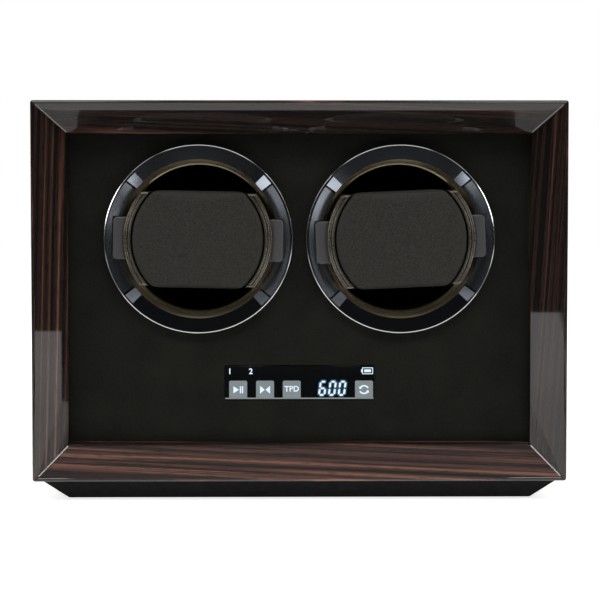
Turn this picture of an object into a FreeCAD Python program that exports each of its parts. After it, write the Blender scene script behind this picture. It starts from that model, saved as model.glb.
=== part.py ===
import FreeCAD, Part
import math
import os
from FreeCAD import Vector

# A watch winder box with two belt-driven rotors behind an open, bevelled frame.
# Millimetres. +X is to the right, +Y goes to the back, +Z is up.
# "Depth" below is always counted backwards from the front of the frame.

# Case and frame
case_width = 250.0
case_height = 178.0
case_depth = 172.0
case_wall = 10.0
edge_round = 1.2
rail_width = 15.25
rail_land = 1.4
bevel_drop = 15.1
rail_depth = 22.0
bevel_round = 0.7
bevel_round_steps = 4

# Plinth and feet
plinth_height = 9.6
plinth_inset = 4.0
plinth_taper = 11.7
plinth_front_taper = 7.4
foot_proud = 0.6
foot_thick = 1.6
foot_radius = 9.0
foot_margin = 16.0

# Facia
skin_thick = 1.0
facia_thick = 9.0
facia_fit = 0.3

# Rotor ring
ring_radius = 44.9
ring_spacing_gap = 6.5
ring_head_gap = 5.15
ring_height = 3.6
ring_edge = 0.75
ring_edge_drop = 0.3
ring_lap = 3.4
ring_run_gap = 0.6
cone_drop = 1.4
pad_rise = 1.6
pad_rise_inner = 0.8
pad_inset = 0.5
pad_half_angle = 38.5
ramp_angle = 7.0
hole_gap = 1.0
rest_angle = {"left": 1.1, "right": -2.5}

# Rotor cup
collar_wall = 3.5
collar_length = 14.0
mouth_depth = 10.0
mouth_taper = 1.0
shoulder = 1.5
bore_chamfer = 0.5
bore_depth = 44.0
cup_wall = 2.5
cup_floor = 4.0
shaft_seat = 3.0

# Shaft, bush and retaining clip
shaft_radius = 4.0
shaft_run = 0.05
bush_wall = 3.0
bush_flange = 2.5
bush_flange_thick = 1.5
bush_tail = 1.0
thrust_gap = 0.3
clip_thick = 1.0
clip_groove = 0.8
clip_width = 3.2
shaft_tail = 2.5

# Belt drive
cup_pulley_pitch = 30.0
drive_pulley_pitch = 7.5
cup_pulley_width = 7.0
drive_pulley_width = 6.0
belt_radius = 1.25
belt_gap = 0.3
belt_flank = 0.9
pulley_lip = 1.6
belt_centres = 50.0

# Bulkhead
bulkhead_thick = 9.0
bulkhead_fit = 0.5
batten = 10.0

# Gear motor
motor_radius = 12.0
motor_length = 30.0
motor_cap_radius = 6.0
motor_cap = 2.5
gearbox_radius = 12.5
gearbox_length = 20.0
gearbox_boss_radius = 6.0
gearbox_boss = 3.0
boss_gap = 0.4
drive_shaft_radius = 2.0
drive_shaft_seat = 6.0
gearbox_screw_offset = 8.5

# Screws
screw_radius = 1.5
screw_head_radius = 3.0
screw_head = 1.8
screw_grip = 8.0
screw_slot = 0.9
hole_clear = 0.2

# Cushion
cushion_half = 22.9
cheek_gap = 0.6
cheek_wall = 3.2
cheek_half = 22.1
bore_fit = 0.5
pad_front_depth = 8.5
pad_crown = 1.2
cheek_front_depth = 11.5
web_depth = 30.0
web_thick = 3.0
spring_room = 14.0
rear_pad_thick = 17.0
rear_travel = 8.0
side_plate_tail = 1.0
key_half = 4.0
key_length = 4.0
key_reach = 2.4
key_inset = 4.0
key_fit = 0.4
ear_half = 10.0
ear_margin = 4.6
ear_thick = 2.8
ear_fit = 0.4
ear_round = 2.0
ear_soften = 0.5
cheek_groove_width = 0.8
cheek_groove_depth = 0.8
pocket_floor = 2.4
leaf_thick = 0.6
leaf_width = 16.0
leaf_half_span = 22.0
leaf_gap = 0.3

# Display
window_width = 71.6
window_height = 16.0
window_thick = 3.0
window_proud = 0.6
window_fit = 0.2
window_round = 1.0
window_chamfer = 0.4
display_share = 0.561
display_margin = 8.0
board_thick = 1.6
display_plug_width = 24.0
display_plug_height = 5.0
display_plug_depth = 4.0
ribbon_width = 20.0
ribbon_thick = 0.8
ribbon_bend = 12.0
ribbon_slot_gap = 2.0

# Control board
control_width = 60.0
control_height = 44.0
control_above_axis = 8.0
standoff_radius = 3.0
standoff_length = 6.0
standoff_margin = 4.0
control_plug_height = 6.0
control_plug_depth = 6.0
ribbon_plug_lip = 1.0
lead_plug_half = 3.5
chip_half = 6.0
chip_thick = 1.6
capacitor_radius = 4.0
capacitor_height = 9.0
capacitor_offset = 16.0
lead_radius = 1.2
lead_bend = 7.0
lead_offset = 16.5
lead_depth_from_gearbox = 22.0
lead_gap = 0.05

# Back cover, power socket and battery
cover_thick = 5.0
cover_recess = 4.0
cover_fit = 0.5
socket_from_wall = 26.0
socket_above_floor = 24.0
socket_radius = 5.5
socket_length = 18.0
socket_flange_radius = 7.2
socket_flange = 1.5
socket_bore = 3.1
socket_bore_depth = 9.5
socket_pin = 1.0
cell_radius = 7.1
cell_length = 50.0
cell_cap_radius = 2.7
cell_cap = 1.2
cell_gap = 0.5
tray_wall = 1.6
door_thick = 3.0
door_gap = 0.4
door_lap = 4.0
door_pin_radius = 0.9
door_pin_length = 2.0
door_pin_run = 0.1
door_grip_radius = 7.0
door_grip_depth = 1.2

# Places that follow from the sizes above
front_y = -case_depth / 2.0
half_width = case_width / 2.0
plinth_top = foot_proud + plinth_height
case_bottom = plinth_top
case_top = case_bottom + case_height
inner_half = half_width - case_wall
inner_bottom = case_bottom + case_wall
inner_top = case_top - case_wall
open_half = half_width - rail_width
open_bottom = case_bottom + rail_width
open_top = case_top - rail_width

facia_depth = rail_depth
board_depth = facia_depth + skin_thick
board_back = board_depth + facia_thick

ring_back = facia_depth - ring_run_gap
ring_front = ring_back - ring_height
collar_radius = ring_radius - ring_lap
hole_radius = collar_radius + hole_gap
mouth_radius = collar_radius - collar_wall
mouth_end_radius = mouth_radius - mouth_taper
bore_radius = mouth_end_radius - shoulder
axis_x = ring_radius + ring_spacing_gap / 2.0
axis_z = open_top - ring_head_gap - ring_radius

cup_front = ring_back
shoulder_depth = cup_front + mouth_depth
floor_front = shoulder_depth + bore_depth
cup_back = floor_front + cup_floor
cup_radius = bore_radius + cup_wall

pulley_back = cup_back + cup_pulley_width
belt_depth = cup_back + cup_pulley_width / 2.0
flange_front = pulley_back + thrust_gap
bulkhead_front = flange_front + bush_flange_thick
bulkhead_back = bulkhead_front + bulkhead_thick
bush_back = bulkhead_back + bush_tail
clip_front = bush_back + thrust_gap
clip_back = clip_front + clip_thick
shaft_back = clip_back + shaft_tail
bush_radius = shaft_radius + shaft_run + bush_wall
flange_radius = bush_radius + bush_flange

motor_z = axis_z - belt_centres
gearbox_back = bulkhead_back + gearbox_length
motor_back = gearbox_back + motor_length

spare_under_rings = axis_z - ring_radius - open_bottom - window_height
display_z = open_bottom + spare_under_rings * display_share + window_height / 2.0
window_front = facia_depth - window_proud
window_back = window_front + window_thick
display_board_back = board_back + board_thick
display_plug_back = display_board_back + display_plug_depth

control_z = axis_z + control_above_axis
control_front = bulkhead_back + standoff_length
control_back = control_front + board_thick
plug_middle = control_back + control_plug_depth / 2.0
plug_bottom = control_z - control_height / 2.0
lead_depth = gearbox_back + lead_depth_from_gearbox

cover_back = case_depth - cover_recess
cover_front = cover_back - cover_thick
tray_inner_width = 2.0 * (cell_length + cell_cap) + 3.0 * cell_gap
tray_inner_height = 4.0 * cell_radius + 3.0 * cell_gap
tray_inner_depth = 2.0 * cell_radius + cell_gap
tray_z = axis_z
recess_half = tray_inner_width / 2.0 + door_lap
recess_bottom = tray_z - tray_inner_height / 2.0 - door_lap
recess_top = tray_z + tray_inner_height / 2.0 + door_lap
recess_front = cover_back - door_thick - door_gap
door_axis_depth = cover_back - door_thick / 2.0
door_axis_z = recess_bottom + door_gap + door_thick / 2.0
socket_x = inner_half - socket_from_wall
socket_z = inner_bottom + socket_above_floor

cheek_outer = bore_radius - bore_fit
cheek_inner = cheek_outer - cheek_wall
cushion_radius = cheek_inner - cheek_gap
ear_reach = ring_radius - ear_margin
web_back = web_depth + web_thick
rear_front = web_back + spring_room
rear_back = rear_front + rear_pad_thick
plate_back = rear_back - side_plate_tail
key_back = rear_back - key_inset
pocket_depth = ring_back - pocket_floor
ear_back = pocket_depth - ear_fit
ear_front = ear_back - ear_thick

side_sign = {"left": -1.0, "right": 1.0}
along_x = Vector(1, 0, 0)
along_y = Vector(0, 1, 0)


def row_y(depth):
    """Row Y of a depth behind the front of the frame."""
    return front_y + depth


def block(x0, x1, d0, d1, z0, z1):
    """Box between two corners, given as X, depth and Z."""
    return Part.makeBox(x1 - x0, d1 - d0, z1 - z0, Vector(x0, row_y(d0), z0))


def disc(x, z, radius, d0, d1):
    """Cylinder along Y."""
    return Part.makeCylinder(radius, d1 - d0, Vector(x, row_y(d0), z), along_y)


def tube(x, z, outer, inner, d0, d1):
    """Round tube along Y."""
    return disc(x, z, outer, d0, d1).cut(disc(x, z, inner, d0, d1))


def turned(profile):
    """Solid turned about the Y axis from a closed outline of (radius, depth)."""
    points = [Vector(radius, row_y(depth), 0) for radius, depth in profile]
    face = Part.Face(Part.makePolygon(points + points[:1]))
    return face.revolve(Vector(0, 0, 0), along_y, 360)


def plate(outline, d0, d1):
    """Plate along Y from a closed outline of (x, z)."""
    points = [Vector(x, row_y(d0), z) for x, z in outline]
    face = Part.Face(Part.makePolygon(points + points[:1]))
    return face.extrude(Vector(0, d1 - d0, 0))


def joined(shapes):
    """One solid from pieces that touch or overlap."""
    first = shapes[0]
    return first.fuse(shapes[1:]).removeSplitter()


def less(shape, tools):
    """Shape with every tool taken out of it."""
    return shape.cut(tools) if tools else shape


def edges_along(shape, test):
    """Edges whose two ends both satisfy a test on the end point."""
    return [edge for edge in shape.Edges if all(test(vertex.Point) for vertex in edge.Vertexes)]


def rounded_block(x0, x1, d0, d1, z0, z1, radius):
    """Box with its four edges along Y rounded."""
    solid = block(x0, x1, d0, d1, z0, z1)
    edges = []
    for edge in solid.Edges:
        first, last = [vertex.Point for vertex in edge.Vertexes]
        if abs(first.x - last.x) < 1e-6 and abs(first.z - last.z) < 1e-6:
            edges.append(edge)
    return solid.makeFillet(radius, edges)


def path_wire(points, bend):
    """Straight runs through points, joined by tangent arcs of one radius."""
    edges = []
    start = points[0]
    for before, corner, after in zip(points, points[1:], points[2:]):
        into = (corner - before).normalize()
        out = (after - corner).normalize()
        turn = into.getAngle(out)
        set_back = bend * math.tan(turn / 2.0)
        arc_start = corner - into * set_back
        arc_end = corner + out * set_back
        inward = (out - into).normalize()
        arc_mid = corner + inward * (bend / math.cos(turn / 2.0) - bend)
        edges.append(Part.LineSegment(start, arc_start).toShape())
        edges.append(Part.Arc(arc_start, arc_mid, arc_end).toShape())
        start = arc_end
    edges.append(Part.LineSegment(start, points[-1]).toShape())
    return Part.Wire(edges)


def swept_round(points, bend, radius):
    """Round cord along straight runs and tangent arcs."""
    wire = path_wire(points, bend)
    heading = points[1] - points[0]
    section = Part.Wire(Part.makeCircle(radius, points[0], heading))
    return wire.makePipeShell([section], True, False)


def screw(x, z, d_head, d_tip, direction):
    """Slotted round-head screw along Y. direction is 1 when the tip points to the back."""
    shank = disc(x, z, screw_radius, min(d_head, d_tip), max(d_head, d_tip))
    outer = d_head - direction * screw_head
    head = disc(x, z, screw_head_radius, min(outer, d_head), max(outer, d_head))
    slot_floor = outer + direction * screw_head / 2.0
    slot = block(
        x - screw_head_radius, x + screw_head_radius,
        min(outer, slot_floor), max(outer, slot_floor),
        z - screw_slot / 2.0, z + screw_slot / 2.0,
    )
    return joined([shank, head]).cut(slot)


# Positions shared by more than one piece
def foot_places():
    x = half_width - plinth_inset - plinth_taper - foot_margin
    y = case_depth / 2.0 - plinth_inset - plinth_taper - foot_margin
    return [(sx * x, sy * y) for sx in (-1, 1) for sy in (-1, 1)]


def bulkhead_screw_places():
    x = inner_half - batten / 2.0
    low = inner_bottom + 2.0 * batten
    high = inner_top - 2.0 * batten
    return [(s * x, z) for s in (-1, 1) for z in (low, high)]


def cover_screw_places():
    x = inner_half - batten / 2.0
    low = inner_bottom + batten
    high = inner_top - batten
    return [(s * x, z) for s in (-1, 1) for z in (low, (low + high) / 2.0, high)]


def gearbox_screw_places(side):
    x = side_sign[side] * axis_x
    return [(x + s * gearbox_screw_offset, motor_z) for s in (-1, 1)]


def standoff_places():
    x = control_width / 2.0 - standoff_margin
    z = control_height / 2.0 - standoff_margin
    return [(sx * x, control_z + sz * z) for sx in (-1, 1) for sz in (-1, 1)]


def display_screw_places():
    x = window_width / 2.0 + display_margin / 2.0
    return [(s * x, display_z) for s in (-1, 1)]


def cell_places():
    x = cell_length / 2.0 + cell_cap / 2.0 + cell_gap / 2.0
    z = cell_radius + cell_gap / 2.0
    return [(sx * x, tray_z + sz * z) for sx in (-1, 1) for sz in (-1, 1)]


# Case, frame and plinth
def corner_pieces(solid, inset, d0, d1):
    """Four pieces of a rectangular tube, parted on the mitres of its corners."""
    lo_z, hi_z = case_bottom, case_top
    outer = [(-half_width, lo_z), (half_width, lo_z), (half_width, hi_z), (-half_width, hi_z)]
    inner = [
        (-half_width + inset, lo_z + inset), (half_width - inset, lo_z + inset),
        (half_width - inset, hi_z - inset), (-half_width + inset, hi_z - inset),
    ]
    found = {}
    for index, name in enumerate(["bottom", "right", "top", "left"]):
        after = (index + 1) % 4
        wedge = plate([outer[index], outer[after], inner[after], inner[index]], d0, d1)
        found[name] = solid.common(wedge)
    return found


def case_panels():
    shell = rounded_block(
        -half_width, half_width, rail_depth, case_depth, case_bottom, case_top, edge_round)
    back = edges_along(shell, lambda p: abs(p.y - row_y(case_depth)) < 1e-6)
    shell = shell.makeFillet(edge_round / 2.0, back)
    inside = block(-inner_half, inner_half, rail_depth, case_depth, inner_bottom, inner_top)
    return corner_pieces(shell.cut(inside), case_wall, rail_depth, case_depth)


def bevel_outline():
    """Bevel from the land to the inner edge, as (inset, depth), with both its edges rounded."""
    slope = math.atan2(bevel_drop, rail_width - rail_land)
    points = []
    for corner, start, turn in (
        ((rail_land, 0.0), 0.0, slope),
        ((rail_width, bevel_drop), slope, math.pi / 2.0 - slope),
    ):
        set_back = bevel_round * math.tan(turn / 2.0)
        first_inset = corner[0] - set_back * math.cos(start)
        first_depth = corner[1] - set_back * math.sin(start)
        centre_inset = first_inset - bevel_round * math.sin(start)
        centre_depth = first_depth + bevel_round * math.cos(start)
        for step in range(bevel_round_steps + 1):
            angle = start + turn * step / bevel_round_steps
            points.append((centre_inset + bevel_round * math.sin(angle),
                           centre_depth - bevel_round * math.cos(angle)))
    return points


def frame_rails():
    solid = rounded_block(-half_width, half_width, 0, rail_depth, case_bottom, case_top, edge_round)
    front = edges_along(solid, lambda p: abs(p.y - row_y(0)) < 1e-6)
    solid = solid.makeFillet(edge_round, front)
    wires = []
    for inset, depth in bevel_outline():
        x = half_width - inset
        low, high = case_bottom + inset, case_top - inset
        corners = [Vector(-x, row_y(depth), low), Vector(x, row_y(depth), low),
                   Vector(x, row_y(depth), high), Vector(-x, row_y(depth), high)]
        wires.append(Part.makePolygon(corners + corners[:1]))
    funnel = Part.makeLoft(wires, True, True)
    bevel_end = bevel_outline()[-1][1]
    opening = block(-open_half, open_half, bevel_end, rail_depth, open_bottom, open_top)
    return corner_pieces(solid.cut([funnel, opening]), rail_width, 0, rail_depth)


def plinth():
    wires = []
    for taper, front_taper, z in ((plinth_taper, plinth_front_taper, foot_proud), (0.0, 0.0, plinth_top)):
        x = half_width - plinth_inset - taper
        back = case_depth / 2.0 - plinth_inset - taper
        front = front_taper + plinth_inset - case_depth / 2.0
        corners = [Vector(-x, front, z), Vector(x, front, z), Vector(x, back, z), Vector(-x, back, z)]
        wires.append(Part.makePolygon(corners + corners[:1]))
    solid = Part.makeLoft(wires, True, True)
    sinks = [Part.makeCylinder(foot_radius, foot_thick - foot_proud, Vector(x, y, foot_proud))
             for x, y in foot_places()]
    return less(solid, sinks)


def felt_feet():
    return Part.makeCompound(
        [Part.makeCylinder(foot_radius, foot_thick, Vector(x, y, 0)) for x, y in foot_places()])


# Facia and display
def facia_holes(d0, d1):
    holes = [disc(sign * axis_x, axis_z, hole_radius, d0, d1) for sign in side_sign.values()]
    x = window_width / 2.0 + window_fit
    z = window_height / 2.0 + window_fit
    holes.append(rounded_block(-x, x, d0, d1, display_z - z, display_z + z, window_round))
    return holes


def facia_sheet(d0, d1):
    half = inner_half - facia_fit
    sheet = block(-half, half, d0, d1, inner_bottom + facia_fit, inner_top - facia_fit)
    return sheet.cut(facia_holes(d0, d1))


def facia_board():
    solid = facia_sheet(board_depth, board_back)
    pilots = [disc(x, z, screw_radius, display_board_back - screw_grip, board_back)
              for x, z in display_screw_places()]
    return less(solid, pilots)


def touch_window():
    x, z = window_width / 2.0, window_height / 2.0
    solid = rounded_block(-x, x, window_front, window_back, display_z - z, display_z + z, window_round)
    front = edges_along(solid, lambda p: abs(p.y - row_y(window_front)) < 1e-6)
    return solid.makeChamfer(window_chamfer, front)


def display_housing():
    x = window_width / 2.0 - window_fit
    z = window_height / 2.0 - window_fit
    return rounded_block(-x, x, window_back, board_back, display_z - z, display_z + z, window_round)


def display_board():
    x = window_width / 2.0 + display_margin
    z = window_height / 2.0 + display_margin / 2.0
    board = block(-x, x, board_back, display_board_back, display_z - z, display_z + z)
    plug = block(
        -display_plug_width / 2.0, display_plug_width / 2.0, display_board_back, display_plug_back,
        display_z - display_plug_height / 2.0, display_z + display_plug_height / 2.0)
    holes = [disc(x, z, screw_radius + hole_clear, board_back, display_board_back)
             for x, z in display_screw_places()]
    return joined([board, plug]).cut(holes)


def display_screws():
    return Part.makeCompound(
        [screw(x, z, display_board_back, display_board_back - screw_grip, -1)
         for x, z in display_screw_places()])


def display_ribbon():
    """Flat cable from the display, through the bulkhead and up to the control board."""
    half = ribbon_thick / 2.0
    inner, outer = ribbon_bend - half, ribbon_bend + half
    end_d, end_z = plug_middle, plug_bottom
    centre_d, centre_z = end_d - ribbon_bend, display_z + ribbon_bend
    diagonal = math.sqrt(0.5)

    def point(depth, z):
        return Vector(-ribbon_width / 2.0, row_y(depth), z)

    def on_bend(radius, share):
        return point(centre_d + radius * share[0], centre_z - radius * share[1])

    outline = [
        Part.LineSegment(point(display_plug_back, display_z - half), on_bend(outer, (0, 1))),
        Part.Arc(on_bend(outer, (0, 1)), on_bend(outer, (diagonal, diagonal)), on_bend(outer, (1, 0))),
        Part.LineSegment(on_bend(outer, (1, 0)), point(end_d + half, end_z)),
        Part.LineSegment(point(end_d + half, end_z), point(end_d - half, end_z)),
        Part.LineSegment(point(end_d - half, end_z), on_bend(inner, (1, 0))),
        Part.Arc(on_bend(inner, (1, 0)), on_bend(inner, (diagonal, diagonal)), on_bend(inner, (0, 1))),
        Part.LineSegment(on_bend(inner, (0, 1)), point(display_plug_back, display_z + half)),
        Part.LineSegment(point(display_plug_back, display_z + half),
                         point(display_plug_back, display_z - half)),
    ]
    face = Part.Face(Part.Wire([curve.toShape() for curve in outline]))
    return face.extrude(Vector(ribbon_width, 0, 0))


# Bulkhead with drives
def bulkhead():
    half = inner_half - bulkhead_fit
    solid = block(-half, half, bulkhead_front, bulkhead_back,
                  inner_bottom + bulkhead_fit, inner_top - bulkhead_fit)
    cuts = []
    for side, sign in side_sign.items():
        cuts.append(disc(sign * axis_x, axis_z, bush_radius, bulkhead_front, bulkhead_back))
        cuts.append(disc(sign * axis_x, motor_z, gearbox_boss_radius + boss_gap,
                         bulkhead_front, bulkhead_back))
        for x, z in gearbox_screw_places(side):
            cuts.append(disc(x, z, screw_radius + hole_clear, bulkhead_front, bulkhead_back))
            cuts.append(disc(x, z, screw_head_radius + hole_clear,
                             bulkhead_front, bulkhead_front + screw_head))
    for x, z in bulkhead_screw_places():
        cuts.append(disc(x, z, screw_radius + hole_clear, bulkhead_front, bulkhead_back))
    for x, z in standoff_places():
        cuts.append(disc(x, z, screw_radius, bulkhead_back - screw_grip / 2.0, bulkhead_back))
    slot_x = ribbon_width / 2.0 + ribbon_slot_gap
    slot_z = ribbon_thick / 2.0 + ribbon_slot_gap
    cuts.append(block(-slot_x, slot_x, bulkhead_front, bulkhead_back,
                      display_z - slot_z, display_z + slot_z))
    return less(solid, cuts)


def batten_pair(d0, d1, places, d_tip, d_face):
    """Two upright battens on the side walls, with pilot holes for their screws."""
    solids = []
    for sign in (-1, 1):
        x0, x1 = sorted([sign * (inner_half - batten), sign * inner_half])
        solid = block(x0, x1, d0, d1, inner_bottom, inner_top)
        pilots = [disc(x, z, screw_radius, d_tip, d_face) for x, z in places if x * sign > 0]
        solids.append(less(solid, pilots))
    return Part.makeCompound(solids)


def bulkhead_battens():
    return batten_pair(bulkhead_front - batten, bulkhead_front, bulkhead_screw_places(),
                       bulkhead_front - screw_grip, bulkhead_front)


def bulkhead_screws():
    return Part.makeCompound([screw(x, z, bulkhead_back, bulkhead_front - screw_grip, -1)
                              for x, z in bulkhead_screw_places()])


def rotor_bushes():
    solids = []
    for sign in side_sign.values():
        x = sign * axis_x
        flange = disc(x, axis_z, flange_radius, flange_front, bulkhead_front)
        sleeve = disc(x, axis_z, bush_radius, bulkhead_front, bush_back)
        bore = disc(x, axis_z, shaft_radius + shaft_run, flange_front, bush_back)
        solids.append(joined([flange, sleeve]).cut(bore))
    return Part.makeCompound(solids)


def gearbox(side):
    x = side_sign[side] * axis_x
    boss_front = bulkhead_back - gearbox_boss
    body = disc(x, motor_z, gearbox_radius, bulkhead_back, gearbox_back)
    boss = disc(x, motor_z, gearbox_boss_radius, boss_front, bulkhead_back)
    shaft_hole = disc(x, motor_z, drive_shaft_radius + shaft_run,
                      boss_front, bulkhead_back + drive_shaft_seat)
    pilots = [disc(px, pz, screw_radius, bulkhead_back, bulkhead_back + screw_grip)
              for px, pz in gearbox_screw_places(side)]
    return joined([body, boss]).cut([shaft_hole] + pilots)


def motor(side):
    x = side_sign[side] * axis_x
    can = disc(x, motor_z, motor_radius, gearbox_back, motor_back)
    cap = disc(x, motor_z, motor_cap_radius, motor_back, motor_back + motor_cap)
    return joined([can, cap])


def gearbox_screws():
    head_seat = bulkhead_front + screw_head
    return Part.makeCompound([screw(x, z, head_seat, bulkhead_back + screw_grip, 1)
                              for side in side_sign for x, z in gearbox_screw_places(side)])


def pulley_outline(pitch, bore, d0, d1):
    """Pulley with a groove for a round belt, as (radius, depth) points."""
    floor = pitch - belt_radius - belt_gap
    lip = pitch + pulley_lip
    narrow = belt_radius + belt_gap
    wide = narrow + belt_flank
    return [(bore, d0), (lip, d0), (lip, belt_depth - wide), (floor, belt_depth - narrow),
            (floor, belt_depth + narrow), (lip, belt_depth + wide), (lip, d1), (bore, d1)]


def drive_pulley(side):
    d0 = belt_depth - drive_pulley_width / 2.0
    d1 = belt_depth + drive_pulley_width / 2.0
    solid = turned(pulley_outline(drive_pulley_pitch, drive_shaft_radius, d0, d1))
    return solid.translate(Vector(side_sign[side] * axis_x, 0, motor_z))


def gearbox_shaft(side):
    front = belt_depth - drive_pulley_width / 2.0
    return disc(side_sign[side] * axis_x, motor_z, drive_shaft_radius,
                front, bulkhead_back + drive_shaft_seat)


def drive_belt(side):
    """Round belt: two straight runs tangent to the two pulleys."""
    x = side_sign[side] * axis_x
    lean = math.asin((cup_pulley_pitch - drive_pulley_pitch) / belt_centres)
    across, rise = math.cos(lean), math.sin(lean)

    def point(centre_z, radius, share_x, share_z):
        return Vector(x + radius * share_x, row_y(belt_depth), centre_z + radius * share_z)

    big_left = point(axis_z, cup_pulley_pitch, -across, -rise)
    big_top = point(axis_z, cup_pulley_pitch, 0, 1)
    big_right = point(axis_z, cup_pulley_pitch, across, -rise)
    small_right = point(motor_z, drive_pulley_pitch, across, -rise)
    small_low = point(motor_z, drive_pulley_pitch, 0, -1)
    small_left = point(motor_z, drive_pulley_pitch, -across, -rise)
    edges = [
        Part.Arc(big_left, big_top, big_right).toShape(),
        Part.LineSegment(big_right, small_right).toShape(),
        Part.Arc(small_right, small_low, small_left).toShape(),
        Part.LineSegment(small_left, big_left).toShape(),
    ]
    solids = []
    for edge in edges:
        start = edge.valueAt(edge.FirstParameter)
        heading = edge.tangentAt(edge.FirstParameter)
        section = Part.Wire(Part.makeCircle(belt_radius, start, heading))
        solids.append(Part.Wire([edge]).makePipeShell([section], True, False))
    return joined(solids)


# Control board and leads
def control_board():
    """Board with its chip, capacitors and plugs."""
    x, z = control_width / 2.0, control_height / 2.0
    plug_back = control_back + control_plug_depth
    plug_top = plug_bottom + control_plug_height
    ribbon_half = ribbon_width / 2.0 + ribbon_plug_lip
    pieces = [
        block(-x, x, control_front, control_back, control_z - z, control_z + z),
        block(-ribbon_half, ribbon_half, control_back, plug_back, plug_bottom, plug_top),
        block(-chip_half, chip_half, control_back, control_back + chip_thick,
              control_z - chip_half, control_z + chip_half),
    ]
    for sign in (-1, 1):
        lead_x = sign * lead_offset
        pieces.append(block(lead_x - lead_plug_half, lead_x + lead_plug_half,
                            control_back, plug_back, plug_bottom, plug_top))
        pieces.append(disc(sign * capacitor_offset, control_z, capacitor_radius,
                           control_back, control_back + capacitor_height))
    holes = [disc(px, pz, screw_radius + hole_clear, control_front, control_back)
             for px, pz in standoff_places()]
    return joined(pieces).cut(holes)


def board_standoffs():
    """Spacers with a stud into the bulkhead and a head that holds the board."""
    solids = []
    for x, z in standoff_places():
        stud = disc(x, z, screw_radius, bulkhead_back - screw_grip / 2.0, control_back)
        spacer = disc(x, z, standoff_radius, bulkhead_back, control_front)
        head = disc(x, z, screw_head_radius, control_back, control_back + screw_head)
        solids.append(joined([stud, spacer, head]))
    return Part.makeCompound(solids)


def motor_leads():
    solids = []
    for sign in (-1, 1):
        start_x = sign * (axis_x - motor_radius - lead_gap)
        x = sign * lead_offset
        points = [
            Vector(start_x, row_y(lead_depth), motor_z),
            Vector(x, row_y(lead_depth), motor_z),
            Vector(x, row_y(plug_middle), motor_z),
            Vector(x, row_y(plug_middle), plug_bottom),
        ]
        solids.append(swept_round(points, lead_bend, lead_radius))
    return Part.makeCompound(solids)


# Back cover, socket and battery
def rear_battens():
    return batten_pair(cover_front - batten, cover_front, cover_screw_places(),
                       cover_front - screw_grip, cover_front)


def back_cover():
    half = inner_half - cover_fit
    solid = block(-half, half, cover_front, cover_back, inner_bottom + cover_fit, inner_top - cover_fit)
    width, height = tray_inner_width / 2.0, tray_inner_height / 2.0
    cuts = [
        block(-width, width, cover_front, cover_back, tray_z - height, tray_z + height),
        block(-recess_half, recess_half, recess_front, cover_back, recess_bottom, recess_top),
        disc(socket_x, socket_z, socket_radius + hole_clear, cover_front, cover_back),
    ]
    pin_reach = recess_half - door_gap + door_pin_length + door_pin_run
    pin_start = Vector(-pin_reach, row_y(door_axis_depth), door_axis_z)
    cuts.append(Part.makeCylinder(door_pin_radius + door_pin_run, 2.0 * pin_reach, pin_start, along_x))
    cuts.append(disc(0, recess_top, door_grip_radius, cover_back - door_grip_depth, cover_back))
    for x, z in cover_screw_places():
        cuts.append(disc(x, z, screw_radius + hole_clear, cover_front, cover_back))
    return less(solid, cuts)


def back_cover_screws():
    return Part.makeCompound([screw(x, z, cover_back, cover_front - screw_grip, -1)
                              for x, z in cover_screw_places()])


def power_socket():
    barrel = disc(socket_x, socket_z, socket_radius, cover_back - socket_length, cover_back)
    flange = disc(socket_x, socket_z, socket_flange_radius, cover_back, cover_back + socket_flange)
    bore_front = cover_back + socket_flange - socket_bore_depth
    bore = disc(socket_x, socket_z, socket_bore, bore_front, cover_back + socket_flange)
    pin = disc(socket_x, socket_z, socket_pin, bore_front, cover_back)
    return joined([joined([barrel, flange]).cut(bore), pin])


def battery_tray():
    width, height = tray_inner_width / 2.0, tray_inner_height / 2.0
    outer = block(-width - tray_wall, width + tray_wall, cover_front - tray_inner_depth - tray_wall,
                  cover_front, tray_z - height - tray_wall, tray_z + height + tray_wall)
    inner = block(-width, width, cover_front - tray_inner_depth, cover_front,
                  tray_z - height, tray_z + height)
    return outer.cut(inner)


def battery_cells():
    solids = []
    depth = cover_front - cell_radius - cell_gap / 2.0
    for x, z in cell_places():
        ahead = 1.0 if z > tray_z else -1.0
        can_start = x - cell_length / 2.0 - ahead * cell_cap / 2.0
        can = Part.makeCylinder(cell_radius, cell_length, Vector(can_start, row_y(depth), z), along_x)
        cap_start = can_start + cell_length if ahead > 0 else can_start - cell_cap
        cap = Part.makeCylinder(cell_cap_radius, cell_cap, Vector(cap_start, row_y(depth), z), along_x)
        solids.append(joined([can, cap]))
    return Part.makeCompound(solids)


def battery_door():
    half = recess_half - door_gap
    panel = block(-half, half, cover_back - door_thick, cover_back, door_axis_z, recess_top - door_gap)
    axis_start = Vector(-half, row_y(door_axis_depth), door_axis_z)
    barrel = Part.makeCylinder(door_thick / 2.0, 2.0 * half, axis_start, along_x)
    pin_start = Vector(-half - door_pin_length, row_y(door_axis_depth), door_axis_z)
    pin = Part.makeCylinder(door_pin_radius, 2.0 * (half + door_pin_length), pin_start, along_x)
    return joined([panel, barrel, pin])


# Rotors, drawn about the Y axis and then set in place
def cone_depth(radius):
    """Depth of the ring's sloped face at a radius."""
    outer = ring_radius - ring_edge
    return ring_front + cone_drop * (outer - radius) / (outer - mouth_radius)


def raised_outline(share):
    """Section of a raised stretch of the ring at a share of its rise, as (radius, depth) points."""
    outer = ring_radius - ring_edge - pad_inset
    return [(mouth_radius, ring_back), (outer, ring_back), (outer, cone_depth(outer) - share * pad_rise),
            (mouth_radius, cone_depth(mouth_radius) - share * pad_rise_inner)]


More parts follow.
